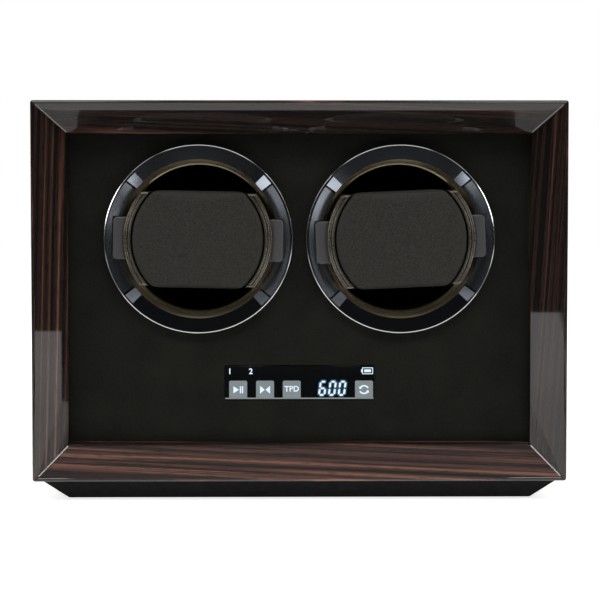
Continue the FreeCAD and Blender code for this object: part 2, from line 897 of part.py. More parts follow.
def section_at(outline, angle):
    """Closed wire of a (radius, depth) outline turned to an angle from +X towards +Z."""
    across, up = math.cos(math.radians(angle)), math.sin(math.radians(angle))
    points = [Vector(radius * across, row_y(depth), radius * up) for radius, depth in outline]
    return Part.makePolygon(points + points[:1])


def raised_stretch(middle):
    """Raised stretch of the ring with a ramp at each end."""
    low, high = middle - pad_half_angle, middle + pad_half_angle
    face = Part.Face(section_at(raised_outline(1.0), high))
    solids = [face.revolve(Vector(0, 0, 0), along_y, 2.0 * pad_half_angle)]
    for near, far in ((low, low - ramp_angle), (high, high + ramp_angle)):
        wires = [section_at(raised_outline(1.0), near), section_at(raised_outline(0.0), far)]
        solids.append(Part.makeLoft(wires, True, True))
    return solids


def rotor_ring():
    outer = ring_radius
    base = turned([
        (mouth_radius, ring_back), (outer, ring_back), (outer, ring_front + ring_edge_drop),
        (outer - ring_edge, ring_front), (mouth_radius, cone_depth(mouth_radius)),
    ])
    solid = joined([base] + raised_stretch(0.0) + raised_stretch(180.0))
    reach = ear_reach + ear_fit
    half = ear_half + ear_fit
    pocket = block(-reach, reach, 0, pocket_depth, -half, half)
    return solid.cut(pocket)


def rotor_cup():
    solid = turned([
        (0, cup_back), (cup_radius, cup_back), (cup_radius, cup_front + collar_length),
        (collar_radius, cup_front + collar_length), (collar_radius, cup_front),
        (mouth_radius, cup_front), (mouth_end_radius, shoulder_depth),
        (bore_radius + bore_chamfer, shoulder_depth), (bore_radius, shoulder_depth + bore_chamfer),
        (bore_radius, floor_front), (0, floor_front),
    ])
    return solid.cut(disc(0, 0, shaft_radius, cup_back - shaft_seat, cup_back))


def cup_pulley():
    return turned(pulley_outline(cup_pulley_pitch, shaft_radius, cup_back, pulley_back))


def rotor_shaft():
    shaft = disc(0, 0, shaft_radius, cup_back - shaft_seat, shaft_back)
    return shaft.cut(tube(0, 0, shaft_radius + 1.0, shaft_radius - clip_groove, clip_front, clip_back))


def rotor_clip():
    """Retaining clip in the shaft's groove, open at the bottom."""
    outer = shaft_radius - clip_groove + clip_width
    solid = tube(0, 0, outer, shaft_radius - clip_groove, clip_front, clip_back)
    mouth = (shaft_radius - clip_groove) * 0.9
    return solid.cut(block(-mouth, mouth, clip_front, clip_back, -outer, 0))


# Cushions, drawn about the Y axis and then set in place
def round_slab(radius, half, d0, d1):
    """Disc along Y with its top and bottom cut flat."""
    return disc(0, 0, radius, d0, d1).common(block(-radius, radius, d0, d1, -half, half))


def crowned(solid, apex, direction, radius):
    """Solid with one face crowned. direction is 1 when the crown faces the front."""
    sphere_radius = (radius ** 2 + pad_crown ** 2) / (2.0 * pad_crown)
    centre = Vector(0, row_y(apex + direction * sphere_radius), 0)
    return solid.common(Part.makeSphere(sphere_radius, centre))


def cushion_carrier():
    sides = tube(0, 0, cheek_outer, cheek_inner, cheek_front_depth, plate_back)
    sides = sides.common(block(-cheek_outer, cheek_outer, cheek_front_depth, plate_back,
                               -cheek_half, cheek_half))
    web = round_slab((cheek_inner + cheek_outer) / 2.0, cheek_half, web_depth, web_back)
    ears = []
    for sign in (-1, 1):
        middle = (cheek_inner + cheek_outer) / 2.0
        x0, x1 = sorted([sign * middle, sign * ear_reach])
        ear = block(x0, x1, ear_front, ear_back, -ear_half, ear_half)
        tips = edges_along(ear, lambda p, s=sign: abs(p.x - s * ear_reach) < 1e-6)
        corners = [edge for edge in tips
                   if abs(edge.Vertexes[0].Point.z - edge.Vertexes[1].Point.z) < 1e-6]
        ear = ear.makeFillet(ear_round, corners)
        front = edges_along(ear, lambda p: abs(p.y - row_y(ear_front)) < 1e-6)
        ear = ear.makeFillet(ear_soften, front)
        ears.append(ear.cut(disc(0, 0, cheek_inner, ear_front, ear_back)))
    groove_middle = (cheek_inner + cheek_outer) / 2.0
    groove_outer = groove_middle + cheek_groove_width / 2.0
    groove_inner = groove_middle - cheek_groove_width / 2.0
    groove_end = cheek_front_depth + cheek_groove_depth
    groove = tube(0, 0, groove_outer, groove_inner, cheek_front_depth, groove_end)
    solid = joined([sides.cut(groove), web] + ears)
    slot_half = key_half + key_fit
    slot = block(-cheek_outer, cheek_outer, key_back - key_length - rear_travel - key_fit,
                 key_back + key_fit, -slot_half, slot_half)
    return solid.cut(slot)


def front_pad():
    solid = round_slab(cushion_radius, cushion_half, pad_front_depth, web_depth)
    return crowned(solid, pad_front_depth, 1, cushion_radius)


def rear_pad():
    solid = round_slab(cushion_radius, cushion_half, rear_front, rear_back)
    solid = crowned(solid, rear_back, -1, cushion_radius)
    reach = cheek_inner + key_reach - cheek_gap
    keys = block(-reach, reach, key_back - key_length, key_back, -key_half, key_half)
    return joined([solid, keys])


def leaf_spring():
    """Bowed strip between the web and the rear pad."""
    low = web_back + leaf_gap
    high = rear_front - leaf_gap

    def arc(offset):
        ends = low + offset
        return Part.Arc(Vector(-leaf_half_span, row_y(ends), 0),
                        Vector(0, row_y(high - leaf_thick + offset), 0),
                        Vector(leaf_half_span, row_y(ends), 0)).toShape()

    inner, outer = arc(0.0), arc(leaf_thick)
    sides = [Part.makeLine(inner.valueAt(inner.LastParameter), outer.valueAt(outer.LastParameter)),
             Part.makeLine(outer.valueAt(outer.FirstParameter), inner.valueAt(inner.FirstParameter))]
    face = Part.Face(Part.Wire(Part.__sortEdges__([inner, outer] + sides)))
    solid = face.extrude(Vector(0, 0, leaf_width))
    return solid.translate(Vector(0, 0, -leaf_width / 2.0))


def set_in_place(solid, side):
    """Turn a rotor piece to its rest angle and move it to its axis."""
    placed = solid.copy()
    placed.rotate(Vector(0, 0, 0), along_y, rest_angle[side])
    placed.translate(Vector(side_sign[side] * axis_x, 0, axis_z))
    return placed


def all_pieces():
    found = {}
    for name, solid in case_panels().items():
        found["case_" + name + "_panel"] = solid
    for name, solid in frame_rails().items():
        found["frame_" + name + "_rail"] = solid
    found["plinth"] = plinth()
    found["felt_feet"] = felt_feet()
    found["facia_board"] = facia_board()
    found["facia_leather"] = facia_sheet(facia_depth, board_depth)
    found["touch_window"] = touch_window()
    found["display_housing"] = display_housing()
    found["display_board"] = display_board()
    found["display_screws"] = display_screws()
    found["display_ribbon"] = display_ribbon()
    found["bulkhead"] = bulkhead()
    found["bulkhead_battens"] = bulkhead_battens()
    found["bulkhead_screws"] = bulkhead_screws()
    found["rotor_bushes"] = rotor_bushes()
    found["gearbox_screws"] = gearbox_screws()
    found["control_board"] = control_board()
    found["board_standoffs"] = board_standoffs()
    found["motor_leads"] = motor_leads()
    found["rear_battens"] = rear_battens()
    found["back_cover"] = back_cover()
    found["back_cover_screws"] = back_cover_screws()
    found["power_socket"] = power_socket()
    found["battery_tray"] = battery_tray()
    found["battery_cells"] = battery_cells()
    found["battery_door"] = battery_door()
    rotor_makers = {
        "rotor_ring": rotor_ring, "rotor_cup": rotor_cup, "cup_pulley": cup_pulley,
        "rotor_shaft": rotor_shaft, "rotor_clip": rotor_clip, "cushion_carrier": cushion_carrier,
        "cushion_front_pad": front_pad, "cushion_rear_pad": rear_pad, "cushion_spring": leaf_spring,
    }
    for name, maker in rotor_makers.items():
        solid = maker()
        for side in side_sign:
            found[side + "_" + name] = set_in_place(solid, side)
    for side in side_sign:
        found[side + "_gearbox"] = gearbox(side)
        found[side + "_motor"] = motor(side)
        found[side + "_drive_pulley"] = drive_pulley(side)
        found[side + "_gearbox_shaft"] = gearbox_shaft(side)
        found[side + "_drive_belt"] = drive_belt(side)
    return found


os.makedirs("parts", exist_ok=True)
for node, shape in all_pieces().items():
    shape.exportStep("parts/" + node + ".step")
    print(node, len(shape.Solids), round(shape.Volume, 1), shape.isValid())
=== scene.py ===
"""Finishes of a two-rotor watch winder box, laid out as an add-on and run as a script."""

import math
from functools import partial

import bmesh
import bpy
from bpy.props import FloatProperty, FloatVectorProperty, IntProperty, PointerProperty
from bpy.types import Operator, Panel, PropertyGroup
from mathutils import Matrix, Vector


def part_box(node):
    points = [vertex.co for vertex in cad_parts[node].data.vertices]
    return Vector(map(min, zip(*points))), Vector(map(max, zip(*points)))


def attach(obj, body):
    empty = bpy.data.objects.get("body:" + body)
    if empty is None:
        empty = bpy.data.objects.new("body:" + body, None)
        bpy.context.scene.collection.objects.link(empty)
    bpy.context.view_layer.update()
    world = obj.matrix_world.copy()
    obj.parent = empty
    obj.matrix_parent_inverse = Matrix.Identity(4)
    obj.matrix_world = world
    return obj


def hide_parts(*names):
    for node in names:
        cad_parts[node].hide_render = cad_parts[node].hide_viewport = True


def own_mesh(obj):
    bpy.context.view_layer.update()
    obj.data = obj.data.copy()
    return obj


bl_info = {
    "name": "Watch winder box",
    "version": (1, 0, 0),
    "blender": (4, 5, 0),
    "location": "3D View > Sidebar > Winder",
    "description": "Finishes a watch winder box with two rotors and sets up its studio",
    "category": "Object",
}

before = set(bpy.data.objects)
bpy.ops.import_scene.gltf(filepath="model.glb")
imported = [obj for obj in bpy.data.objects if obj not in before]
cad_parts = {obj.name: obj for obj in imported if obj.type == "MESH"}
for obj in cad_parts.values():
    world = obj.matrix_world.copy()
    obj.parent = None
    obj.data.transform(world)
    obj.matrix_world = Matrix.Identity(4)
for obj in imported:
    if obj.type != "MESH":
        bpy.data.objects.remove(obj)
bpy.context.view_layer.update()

MM = 0.001
SIDES = ("left", "right")
# Rail, way that its panel looks, slope of its grain in degrees, place of its leaf in the flitch, how much
# # darker than the palest it is, partly its leaf's own tone and partly painted shade that leaves the bottom
# # rail, which faces up to the light, the lightest, and how fast polishing has rolled its bevel and its
# land
# # over, per metre
LEAVES = (("bottom", (0.0, 0.0, -1.0), 3.3, 63.94, -0.04, 0.0, 0.0),
          ("right", (1.0, 0.0, 0.0), 4.8, 207.9, 0.07, 4.0, 0.0),
          ("top", (0.0, 0.0, 1.0), 3.3, 154.22, 0.06, 34.0, 220.0),
          ("left", (-1.0, 0.0, 0.0), 1.85, 42.59, 0.03, 4.0, 0.0))


def linear(hex_value):
    """sRGB hex colour as linear RGBA."""
    channels = [int(hex_value[at:at + 2], 16) / 255.0 for at in (0, 2, 4)]
    return tuple(c / 12.92 if c <= 0.04045 else ((c + 0.055) / 1.055) ** 2.4 for c in channels) + (1.0,)


def length(label, note, millimetres):
    """Length property with its default given in millimetres."""
    return FloatProperty(name=label, description=note, default=millimetres * MM, unit="LENGTH", precision=5)


def paint(label, note, hex_value):
    """Colour property with its default given as sRGB hex."""
    return FloatVectorProperty(name=label, description=note, default=linear(hex_value), size=4,
                               subtype="COLOR", min=0.0, max=1.0)


class WinderSizes(PropertyGroup):
    """Sizes of what is added around the frame."""

    rail_land: length("Rail land", "Flat edge at the front of each rail", 1.4)
    bevel_drop: length("Bevel drop", "How far each rail's bevel goes back", 15.1)
    bead_radius: length("Lacquer bead", "Radius of the lacquer that fills each mitre valley", 0.5)
    edge_soft: length("Edge softening", "How far back the polish rounds each rail's outer edge", 4.2)
    pad_radius: length("Pad radius", "Radius of a cushion's pads", 31.2)
    pad_half: length("Pad half height", "Half the height of a cushion's pads", 22.9)
    pad_corner: length("Pad corner", "Rounding of a pad's corners, seen from the front", 0.9)
    pad_edge: length("Pad edge", "Rounding of the leather over a pad's edge", 0.9)
    pad_swell: length("Pad swell", "Most that the stuffing moves the leather", 1.2)
    pad_voxel: length("Pad mesh", "Size of the cells that the pad's leather is made of", 1.3)
    left_angle: FloatProperty(name="Left rotor", description="Angle at which the left rotor rests",
                              default=math.radians(1.1), unit="ROTATION")
    right_angle: FloatProperty(name="Right rotor", description="Angle at which the right rotor rests",
                               default=math.radians(-2.5), unit="ROTATION")
    shoulder_depth: length("Cup shoulder", "From a cup's front to the shoulder inside it", 10.0)
    bore_radius: length("Cup bore", "Radius of a cup inside its shoulder", 35.5)
    rim_width: length("Cup rim", "Width of the trim round a cup's bore", 0.8)
    rim_height: length("Cup rim height", "How far the trim stands off a cup's shoulder", 0.3)
    rib_radius: length("Cheek rib", "Radius of the thin ribs on a cushion's cheeks", 0.26)
    end_radius: length("Cheek end", "Radius of the bead across each end of a cushion's cheeks", 0.42)
    spring_half: length("Spring span", "Half the span of a cushion's leaf spring", 22.0)
    spring_width: length("Spring width", "Width of a cushion's leaf spring", 16.0)
    spring_thick: length("Spring thickness", "Thickness of a cushion's leaf spring", 0.6)
    edge_width: length("Cut edge", "Width of the bright line round a rotor ring", 0.34)
    key_width: length("Key width", "Width of a lit touch key", 8.6)
    key_height: length("Key height", "Height of a lit touch key", 8.7)
    key_proud: length("Key film", "How far a key's film stands off the window", 0.12)
    glyph_proud: length("Legend film", "Thickness of a lit legend", 0.05)
    digit_width: length("Digit width", "Width of one figure of the counter", 3.5)
    digit_height: length("Digit height", "Height of the counter's figures", 7.3)
    segment: length("Segment", "Width of a stroke of the counter's figures", 0.95)
    digit_slant: FloatProperty(name="Digit slant", description="Lean of the counter's figures",
                               default=0.13)
    counter: IntProperty(name="Counter", description="Number that the display shows", default=600)


class WinderColours(PropertyGroup):
    """Colours of the finishes."""

    veneer_dark: paint("Veneer, dark", "Darkest figure of the veneer", "0F0B0A")
    veneer_mid: paint("Veneer, middle", "Ground of the veneer", "2A1C17")
    veneer_red: paint("Veneer, red", "Red-brown stripe of the veneer", "4E332A")
    veneer_pale: paint("Veneer, pale", "Palest stripe of the veneer", "6F4B3E")
    lacquer: paint("Black lacquer", "Lacquer of the plinth", "121212")
    fibreboard: paint("Fibreboard", "Bare board inside the case", "9A7F62")
    felt: paint("Felt", "Feet", "141416")
    leatherette: paint("Leatherette", "Covering of the facia", "191916")
    board_paint: paint("Board paint", "Paint of the back cover", "1A1A1B")
    acrylic: paint("Acrylic", "Window of the display", "060708")
    moulding: paint("Black moulding", "Battery tray, door and display housing", "18181A")
    solder_mask: paint("Solder mask", "Circuit boards", "13502F")
    sheath: paint("Sheath", "Cables", "86868A")
    steel: paint("Steel", "Screws, shafts and springs", "C9CBCD")
    bronze: paint("Bronze", "Bushes", "A97F4C")
    can: paint("Motor can", "Motors", "B4B6B8")
    casting: paint("Casting", "Gearboxes", "A3A5A8")
    acetal: paint("Acetal", "Pulleys", "DEDCD4")
    rubber: paint("Rubber", "Belts", "171717")
    ring: paint("Black chrome", "Face of the rotor rings", "64676D")
    ring_pad: paint("Satin chrome", "Raised stretches of the rotor rings", "868A92")
    ring_edge: paint("Cut edge", "Bright line round the rotor rings", "C8C9CA")
    ring_ramp: paint("Cut ramp", "Ramps at the ends of the raised stretches", "60646B")
    cup: paint("Cup", "Mouth of the rotor cups", "A89B7D")
    cup_deep: paint("Cup lining", "Inside of the rotor cups", "2A2824")
    carrier: paint("Carrier", "Cheeks of the cushions", "37332C")
    piping: paint("Piping", "Ribs along the cushions' cheeks", "857F75")
    ear: paint("Ear", "Finger ears of the cushions", "454547")
    leather: paint("Leather", "Cushion pads", "282724")
    socket: paint("Socket", "Power socket", "141415")
    cell: paint("Cell", "Jacket of the cells", "3B4A63")
    key: paint("Key", "Lit touch keys", "777F82")
    light: paint("Light", "Lit figures and legends", "DDF1FF")
    glow: paint("Glow", "Light that spreads round the figures", "1C4560")
    pooled: paint("Pooled lacquer", "Clear lacquer in the mitre valleys", "1C1514")
    floor: paint("Floor", "Floor of the studio", "F2F2F0")


def sizes():
    return bpy.context.scene.winder_sizes


def colours():
    return bpy.context.scene.winder_colours


# Materials
def feed(node, inputs):
    """Sets each input of a node, or links it to a socket or to another node's first output in use."""
    for socket, value in inputs.items():
        if isinstance(value, bpy.types.Node):
            value = next(output for output in value.outputs if output.enabled)
        if isinstance(value, bpy.types.NodeSocket):
            node.id_data.links.new(value, node.inputs[socket])
        else:
            node.inputs[socket].default_value = value


def add_node(tree, kind, inputs=None, stops=(), **settings):
    """Adds a node with its settings, its inputs and its colour stops."""
    node = tree.nodes.new("ShaderNode" + kind)
    for name, value in settings.items():
        setattr(node, name, value)
    feed(node, inputs or {})
    if stops:
        elements = node.color_ramp.elements
        while len(elements) < len(stops):
            elements.new(0.5)
        for element, (place, colour) in zip(elements, stops):
            element.position = place
            element.color = colour
    return node


def start_material(name, settings):
    """New material, add_node for its tree, its shader with sockets set, and its object coordinates."""
    material = bpy.data.materials.new(name)
    material.use_nodes = True
    add = partial(add_node, material.node_tree)
    shader = material.node_tree.nodes["Principled BSDF"]
    feed(shader, settings)
    return material, add, shader, add("TexCoord").outputs["Object"]


def per_mm(millimetres):
    """Texture scale, in repeats per metre, of a pattern of that size."""
    return 1.0 / (millimetres * MM)


def shade(colour, factor):
    """A colour made darker or lighter."""
    return tuple(min(1.0, c * factor) for c in colour[:3]) + (1.0,)


def tone(shader, pattern, colour, low, high, contrast=(0.3, 0.7), socket="Base Color"):
    """Colours the shader between two shades of a colour by a pattern."""
    stops = list(zip(contrast, (shade(colour, low), shade(colour, high))))
    ramp = add_node(shader.id_data, "ValToRGB", {"Fac": pattern}, stops)
    feed(shader, {socket: ramp})
    return ramp


def overlay(shader, mask, colour):
    """Puts another colour over the shader's own where a mask is 1."""
    base = shader.inputs["Base Color"]
    under = base.links[0].from_socket if base.is_linked else tuple(base.default_value)
    mix = add_node(shader.id_data, "Mix", {0: mask, 6: under, 7: colour}, data_type="RGBA")
    feed(shader, {"Base Color": mix})


def relief(shader, height, depth_mm, strength=1.0):
    """Raises the surface, and the coat over it, by a pattern of a real depth."""
    bump = add_node(shader.id_data, "Bump", {
        "Height": height, "Distance": depth_mm * MM, "Strength": strength})
    feed(shader, {"Normal": bump, "Coat Normal": bump})


def grainy(name, settings, grain_mm, colour, low, high, depth_mm=0.0, **grain):
    """Starts a material whose tone, and surface if a depth is given, follow one grain."""
    material, add, shader, place = start_material(name, settings)
    pattern = add("TexNoise", {"Vector": place, "Scale": per_mm(grain_mm), **grain})
    tone(shader, pattern, colour, low, high)
    if depth_mm:
        relief(shader, pattern, depth_mm)
    return material, add, shader, place


def macassar_veneer(name, face, axis, slope, leaf, leaf_tone_and_shade, edge_roll, land_roll):
    """Macassar ebony veneer, grain filled and polished under clear polyester.

    Long near-black and red-brown stripes, 1 to 3 mm wide, lie under a mirror-flat clear coat, whose
    outer edge the polishing has softened. Each rail is cut from its own leaf, and its grain is turned
    in the plane of the face that shows, so that each stripe stays whole along it.
    """
    c, s = colours(), sizes()
    material, add, shader, place = start_material("macassar_veneer_" + name, {
        "Roughness": 0.42, "Specular IOR Level": 0.08, "Coat Weight": 1.0, "Coat Roughness": 0.025,
        "Coat IOR": 1.52})
    grain = add("VectorRotate", {"Vector": place, "Axis": face, "Angle": -math.radians(slope)},
                rotation_type="AXIS_ANGLE")

    def stretched(along_mm, across_mm):
        scale = [per_mm(across_mm)] * 3
        scale[axis] = per_mm(along_mm)
        return add("Mapping", {"Vector": grain, "Scale": scale, "Location": (leaf, leaf, leaf)})

    drift = add("TexNoise", {"Vector": stretched(160.0, 40.0), "Scale": 1.0, "Detail": 1.0})
    wander = add("VectorMath", {0: drift.outputs["Color"], 1: (0.7, 0.7, 0.7), 2: stretched(1400.0, 3.3)},
                 operation="MULTIPLY_ADD")
    stripes = add("TexNoise", {"Vector": wander, "Scale": 1.0, "Detail": 2.0, "Roughness": 0.55})
    streaks = add("TexNoise", {"Vector": stretched(380.0, 0.9), "Scale": 1.0, "Detail": 1.5})
    figure = add("Math", {0: streaks, 1: 0.25, 2: stripes}, operation="MULTIPLY_ADD")
    # Each rail and its panel are darkened by their own amount: the leaf's tone and painted shade for the
    # way the rail faces the light
    deep = add("Math", {0: figure, 1: leaf_tone_and_shade}, operation="SUBTRACT")
    wood = add("ValToRGB", {"Fac": deep}, stops=[
        (0.50, c.veneer_dark), (0.61, c.veneer_mid), (0.64, c.veneer_dark), (0.70, c.veneer_red),
        (0.73, c.veneer_mid), (0.80, c.veneer_pale)])
    # Pores are about 0.1 mm wide, and are drawn 0.35 mm wide so that they show
    pores = add("TexNoise", {"Vector": stretched(7.0, 0.35), "Scale": 1.0, "Detail": 1.0})
    dots = add("ValToRGB", {"Fac": pores}, stops=[
        (0.33, (0.45, 0.45, 0.45, 1.0)), (0.45, (1.0, 1.0, 1.0, 1.0))])
    both = add("Mix", {0: 1.0, 6: wood, 7: dots}, data_type="RGBA", blend_type="MULTIPLY")
    feed(shader, {"Base Color": both})
    # The height falls with the square of the way to the front, so the bevel rolls over to its land,
    # and with the square of the way up the land, so the land rolls over to the top
    low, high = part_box("frame_top_rail")
    where = add("SeparateXYZ", {"Vector": place}).outputs
    height = 0.0
    for end, start, roll in ((low.y + s.edge_soft, where["Y"], edge_roll),
                             (where["Z"], high.z - s.rail_land, land_roll)):
        way = add("Math", {0: end, 1: start}, operation="SUBTRACT")
        near = add("Math", {0: way, 1: 0.0}, operation="MAXIMUM")
        fall = add("Math", {0: near, 1: -roll}, operation="MULTIPLY")
        height = add("Math", {0: near, 1: fall, 2: height}, operation="MULTIPLY_ADD")
    relief(shader, height, 1.0 / MM)
    return material


def black_lacquer():
    """Black lacquer rubbed to satin: deep, even black with a soft, weak sheen and a trace of peel."""
    return grainy("satin_black_lacquer", {"Roughness": 0.5, "Specular IOR Level": 0.025}, 3.5,
                  colours().lacquer, 1.0, 1.4, 0.01, Detail=1.0)[0]


def pooled_lacquer():
    """Clear polyester pooled over dark veneer: a hard, glassy line of highlights."""
    return grainy("pooled_clear_lacquer", {
        "Roughness": 0.06, "IOR": 1.7, "Coat Weight": 1.0, "Coat Roughness": 0.02, "Coat IOR": 1.6}, 4.0,
        colours().pooled, 0.8, 1.0)[0]


def fibreboard():
    """Medium density fibreboard, sawn: even tan with darker flecks of fibre and no gloss."""
    # Fibres are about 0.1 mm thick, and are drawn at 0.5 mm so that they show
    return grainy("medium_density_fibreboard", {"Roughness": 0.85, "Specular IOR Level": 0.25}, 0.5,
                  colours().fibreboard, 0.55, 1.1, 0.06, Detail=3.0)[0]


def painted_board():
    """Board sprayed with black texture paint: dull, with a fine orange-peel grain."""
    material, add, shader, place = grainy("black_texture_paint", {
        "Roughness": 0.62, "Specular IOR Level": 0.35}, 24.0, colours().board_paint, 0.75, 1.3, Detail=4.0)
    peel = add("TexVoronoi", {"Vector": place, "Scale": per_mm(1.1)}, feature="SMOOTH_F1")
    relief(shader, peel, 0.12, 0.6)
    return material


def wool_felt():
    """Pressed wool felt: matt black with a soft pale fuzz along its edges."""
    return grainy("wool_felt", {
        "Roughness": 0.95, "Specular IOR Level": 0.1, "Sheen Weight": 0.4, "Sheen Roughness": 0.5}, 0.6,
        colours().felt, 0.6, 1.8, 0.2, Detail=5.0, Distortion=1.2)[0]


def leatherette():
    """Polyurethane leatherette with a suede-like emboss: near black, dull, with a soft irregular nap."""
    material, add, shader, place = start_material("suede_leatherette", {
        "Roughness": 0.85, "Specular IOR Level": 0.06, "Sheen Weight": 0.02, "Sheen Roughness": 0.45})
    # The emboss is about 0.3 mm across, and is drawn at 0.9 mm so that it shows
    nap = add("TexNoise", {"Vector": place, "Scale": per_mm(0.9), "Detail": 4.0, "Roughness": 0.65})
    clouds = add("TexNoise", {"Vector": place, "Scale": per_mm(14.0), "Detail": 3.0})
    both = add("Math", {0: clouds, 1: 0.5, 2: nap}, operation="MULTIPLY_ADD")
    tone(shader, both, colours().leatherette, 0.6, 1.35, (0.5, 1.0))
    relief(shader, nap, 0.12, 0.7)
    return material


def black_acrylic():
    """Cast acrylic sheet, black behind and polished in front: a deep mirror-like black."""
    return grainy("black_cast_acrylic", {"Roughness": 0.05, "IOR": 1.49}, 18.0, colours().acrylic,
                  1.0, 1.4, 0.01)[0]


def moulded(name, colour, roughness, spark_mm):
    """Moulded plastic with a spark-eroded texture: even colour, satin gloss and a fine pebble."""
    return grainy(name, {"Roughness": roughness, "IOR": 1.53}, spark_mm, colour, 0.88, 1.1, 0.04,
                  Detail=3.0)[0]


def circuit_board():
    """Glass-epoxy board: green solder mask, in blocks divided by paler runs of copper."""
    green = colours().solder_mask
    material, add, shader, place = start_material("glass_epoxy_board", {"Roughness": 0.35, "IOR": 1.55})
    upright = add("Mapping", {"Vector": place, "Rotation": (math.radians(90.0), 0.0, 0.0)})
    feed(shader, {"Base Color": add("TexBrick", {
        "Vector": upright, "Scale": per_mm(6.0), "Mortar Size": 0.06, "Color1": shade(green, 0.85),
        "Color2": green, "Mortar": shade(green, 1.7)})})
    return material


def bare_metal(name, colour, roughness, line_mm, along="Y"):
    """Metal with fine drawn or turned lines along one direction, which stretch its reflections."""
    material, add, shader, place = start_material(name, {"Metallic": 1.0, "Roughness": roughness})
    scale = [per_mm(line_mm)] * 3
    scale["XYZ".index(along)] = per_mm(line_mm * 40.0)
    drawn = add("Mapping", {"Vector": place, "Scale": scale})
    lines = add("TexNoise", {"Vector": drawn, "Scale": 1.0, "Detail": 2.0})
    tone(shader, lines, colour, 0.8, 1.0)
    feed(shader, {"Roughness": add("MapRange", {
        "Value": lines, 1: 0.3, 2: 0.7, 3: roughness * 0.8, 4: roughness * 1.25})})
    return material


def from_axis(place, centre):
    """Distance from an axis along Y through a point, in metres."""
    add = partial(add_node, place.id_data)
    moved = add("VectorMath", {0: place, 1: centre}, operation="SUBTRACT")
    flat = add("VectorMath", {0: moved, 1: (1.0, 0.0, 1.0)}, operation="MULTIPLY")
    return add("VectorMath", {0: flat}, operation="LENGTH")


def step(value, at, soft):
    """0 below a value and 1 above it, with a soft change."""
    return add_node(value.id_data, "MapRange", {"Value": value, 1: at - soft, 2: at + soft})


def black_chrome(side):
    """Black chrome on a turned ring: its raised stretches blasted satin, its ramps and edge cut bright.

    Smoky mirror arcs above and below, greyer sides that fade round the ring, four pale ramps, and a
    thin white line round it all. The chamfer inside that line and a thin line before each ramp are
    painted shade, near-black in the ring's own colour.
    """
    c = colours()
    material, add, shader, place = start_material("black_chrome_" + side, {
        "Metallic": 1.0, "Roughness": 0.15})
    radius = from_axis(place, axis_of(side))
    edge = step(radius, ring_radius(side) - sizes().edge_width, 0.03 * MM)
    chamfer_width, ramp_drop = 0.78 * MM, 0.9 * MM
    # Painted shade: the chamfer inside the cut edge is darkened so that it shows no reflection
    shaded_chamfer = step(radius, ring_radius(side) - chamfer_width, 0.02 * MM)
    moved = add("VectorMath", {0: place, 1: axis_of(side)}, operation="SUBTRACT")
    turned = add("VectorRotate", {"Vector": moved, "Angle": -rest_angle(side)}, rotation_type="Y_AXIS")
    flat = add("SeparateXYZ", {"Vector": turned}).outputs
    rise, run = (add("Math", {0: flat[way]}, operation="ABSOLUTE") for way in "ZX")
    angle = add("Math", {0: rise, 1: run}, operation="ARCTAN2")
    # Angles above the ring's middle of the start of each painted groove shadow and of a ramp's foot and
    # head, and their softness
    groove_shadow_start, foot, head, soft = (math.radians(turn) for turn in (37.2, 38.4, 45.4, 0.15))
    line, after, before = (step(angle, turn, soft) for turn in (groove_shadow_start, foot, head))
    ramp = add("Math", {0: after, 1: before}, operation="SUBTRACT")
    # Painted shade: a thin line before each ramp is darkened as the shadow in the groove at its foot
    groove_shadow = add("Math", {0: line, 1: after}, operation="SUBTRACT")
    dark = add("Math", {0: shaded_chamfer, 1: groove_shadow}, operation="MAXIMUM")
    satin = add("TexNoise", {"Vector": place, "Scale": per_mm(0.6), "Detail": 2.0})
    tone(shader, satin, c.ring_pad, 0.86, 1.1)
    # dark carries the painted shade of the chamfer and of the groove shadows
    for mask, colour in ((after, c.ring), (ramp, c.ring_ramp), (dark, shade(c.ring, 0.12)),
                         (edge, c.ring_edge)):
        overlay(shader, mask, colour)
    # The cutter leaves the ramps steeper than the blank, and they turn with the ring
    fall = add("MapRange", {"Value": angle, 1: foot, 2: head, 3: 0.0, 4: -ramp_drop})
    relief(shader, fall, 1.0 / MM)
    blasted, polished, milled = 0.21, 0.15, 0.26
    mirror = add("Math", {0: before, 1: edge}, operation="MAXIMUM")
    turned_face = add("MapRange", {"Value": mirror, 3: blasted, 4: polished})
    feed(shader, {"Roughness": add("MapRange", {"Value": ramp, 3: turned_face, 4: milled})})
    return material


def cup_plastic(side):
    """Moulded ABS cup, olive brown at its satin mouth and black flocked inside."""
    c = colours()
    material, add, shader, place = grainy("flocked_abs_cup_" + side, {"Roughness": 0.4, "IOR": 1.53},
                                          0.7, c.cup, 0.8, 1.15, 0.03, Detail=3.0)
    flock_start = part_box(side + "_rotor_cup")[0].y + 10.9 * MM
    depth = add("SeparateXYZ", {"Vector": place}).outputs["Y"]
    inside = step(depth, flock_start, 0.1 * MM)
    overlay(shader, inside, c.cup_deep)
    satin, flocked = 0.38, 0.9
    feed(shader, {"Roughness": add("MapRange", {"Value": inside, 3: satin, 4: flocked})})
    return material


def carrier_plastic(side):
    """Moulded ABS carrier, satin brown-grey, with its finger ears a little greyer."""
    c = colours()
    material, _, shader, place = grainy("satin_abs_carrier_" + side, {"Roughness": 0.3, "IOR": 1.53},
                                        0.6, c.carrier, 0.85, 1.1, 0.03, Detail=3.0)
    ear_root = 36.2 * MM
    overlay(shader, step(from_axis(place, axis_of(side)), ear_root, 0.3 * MM), c.ear)
    return material


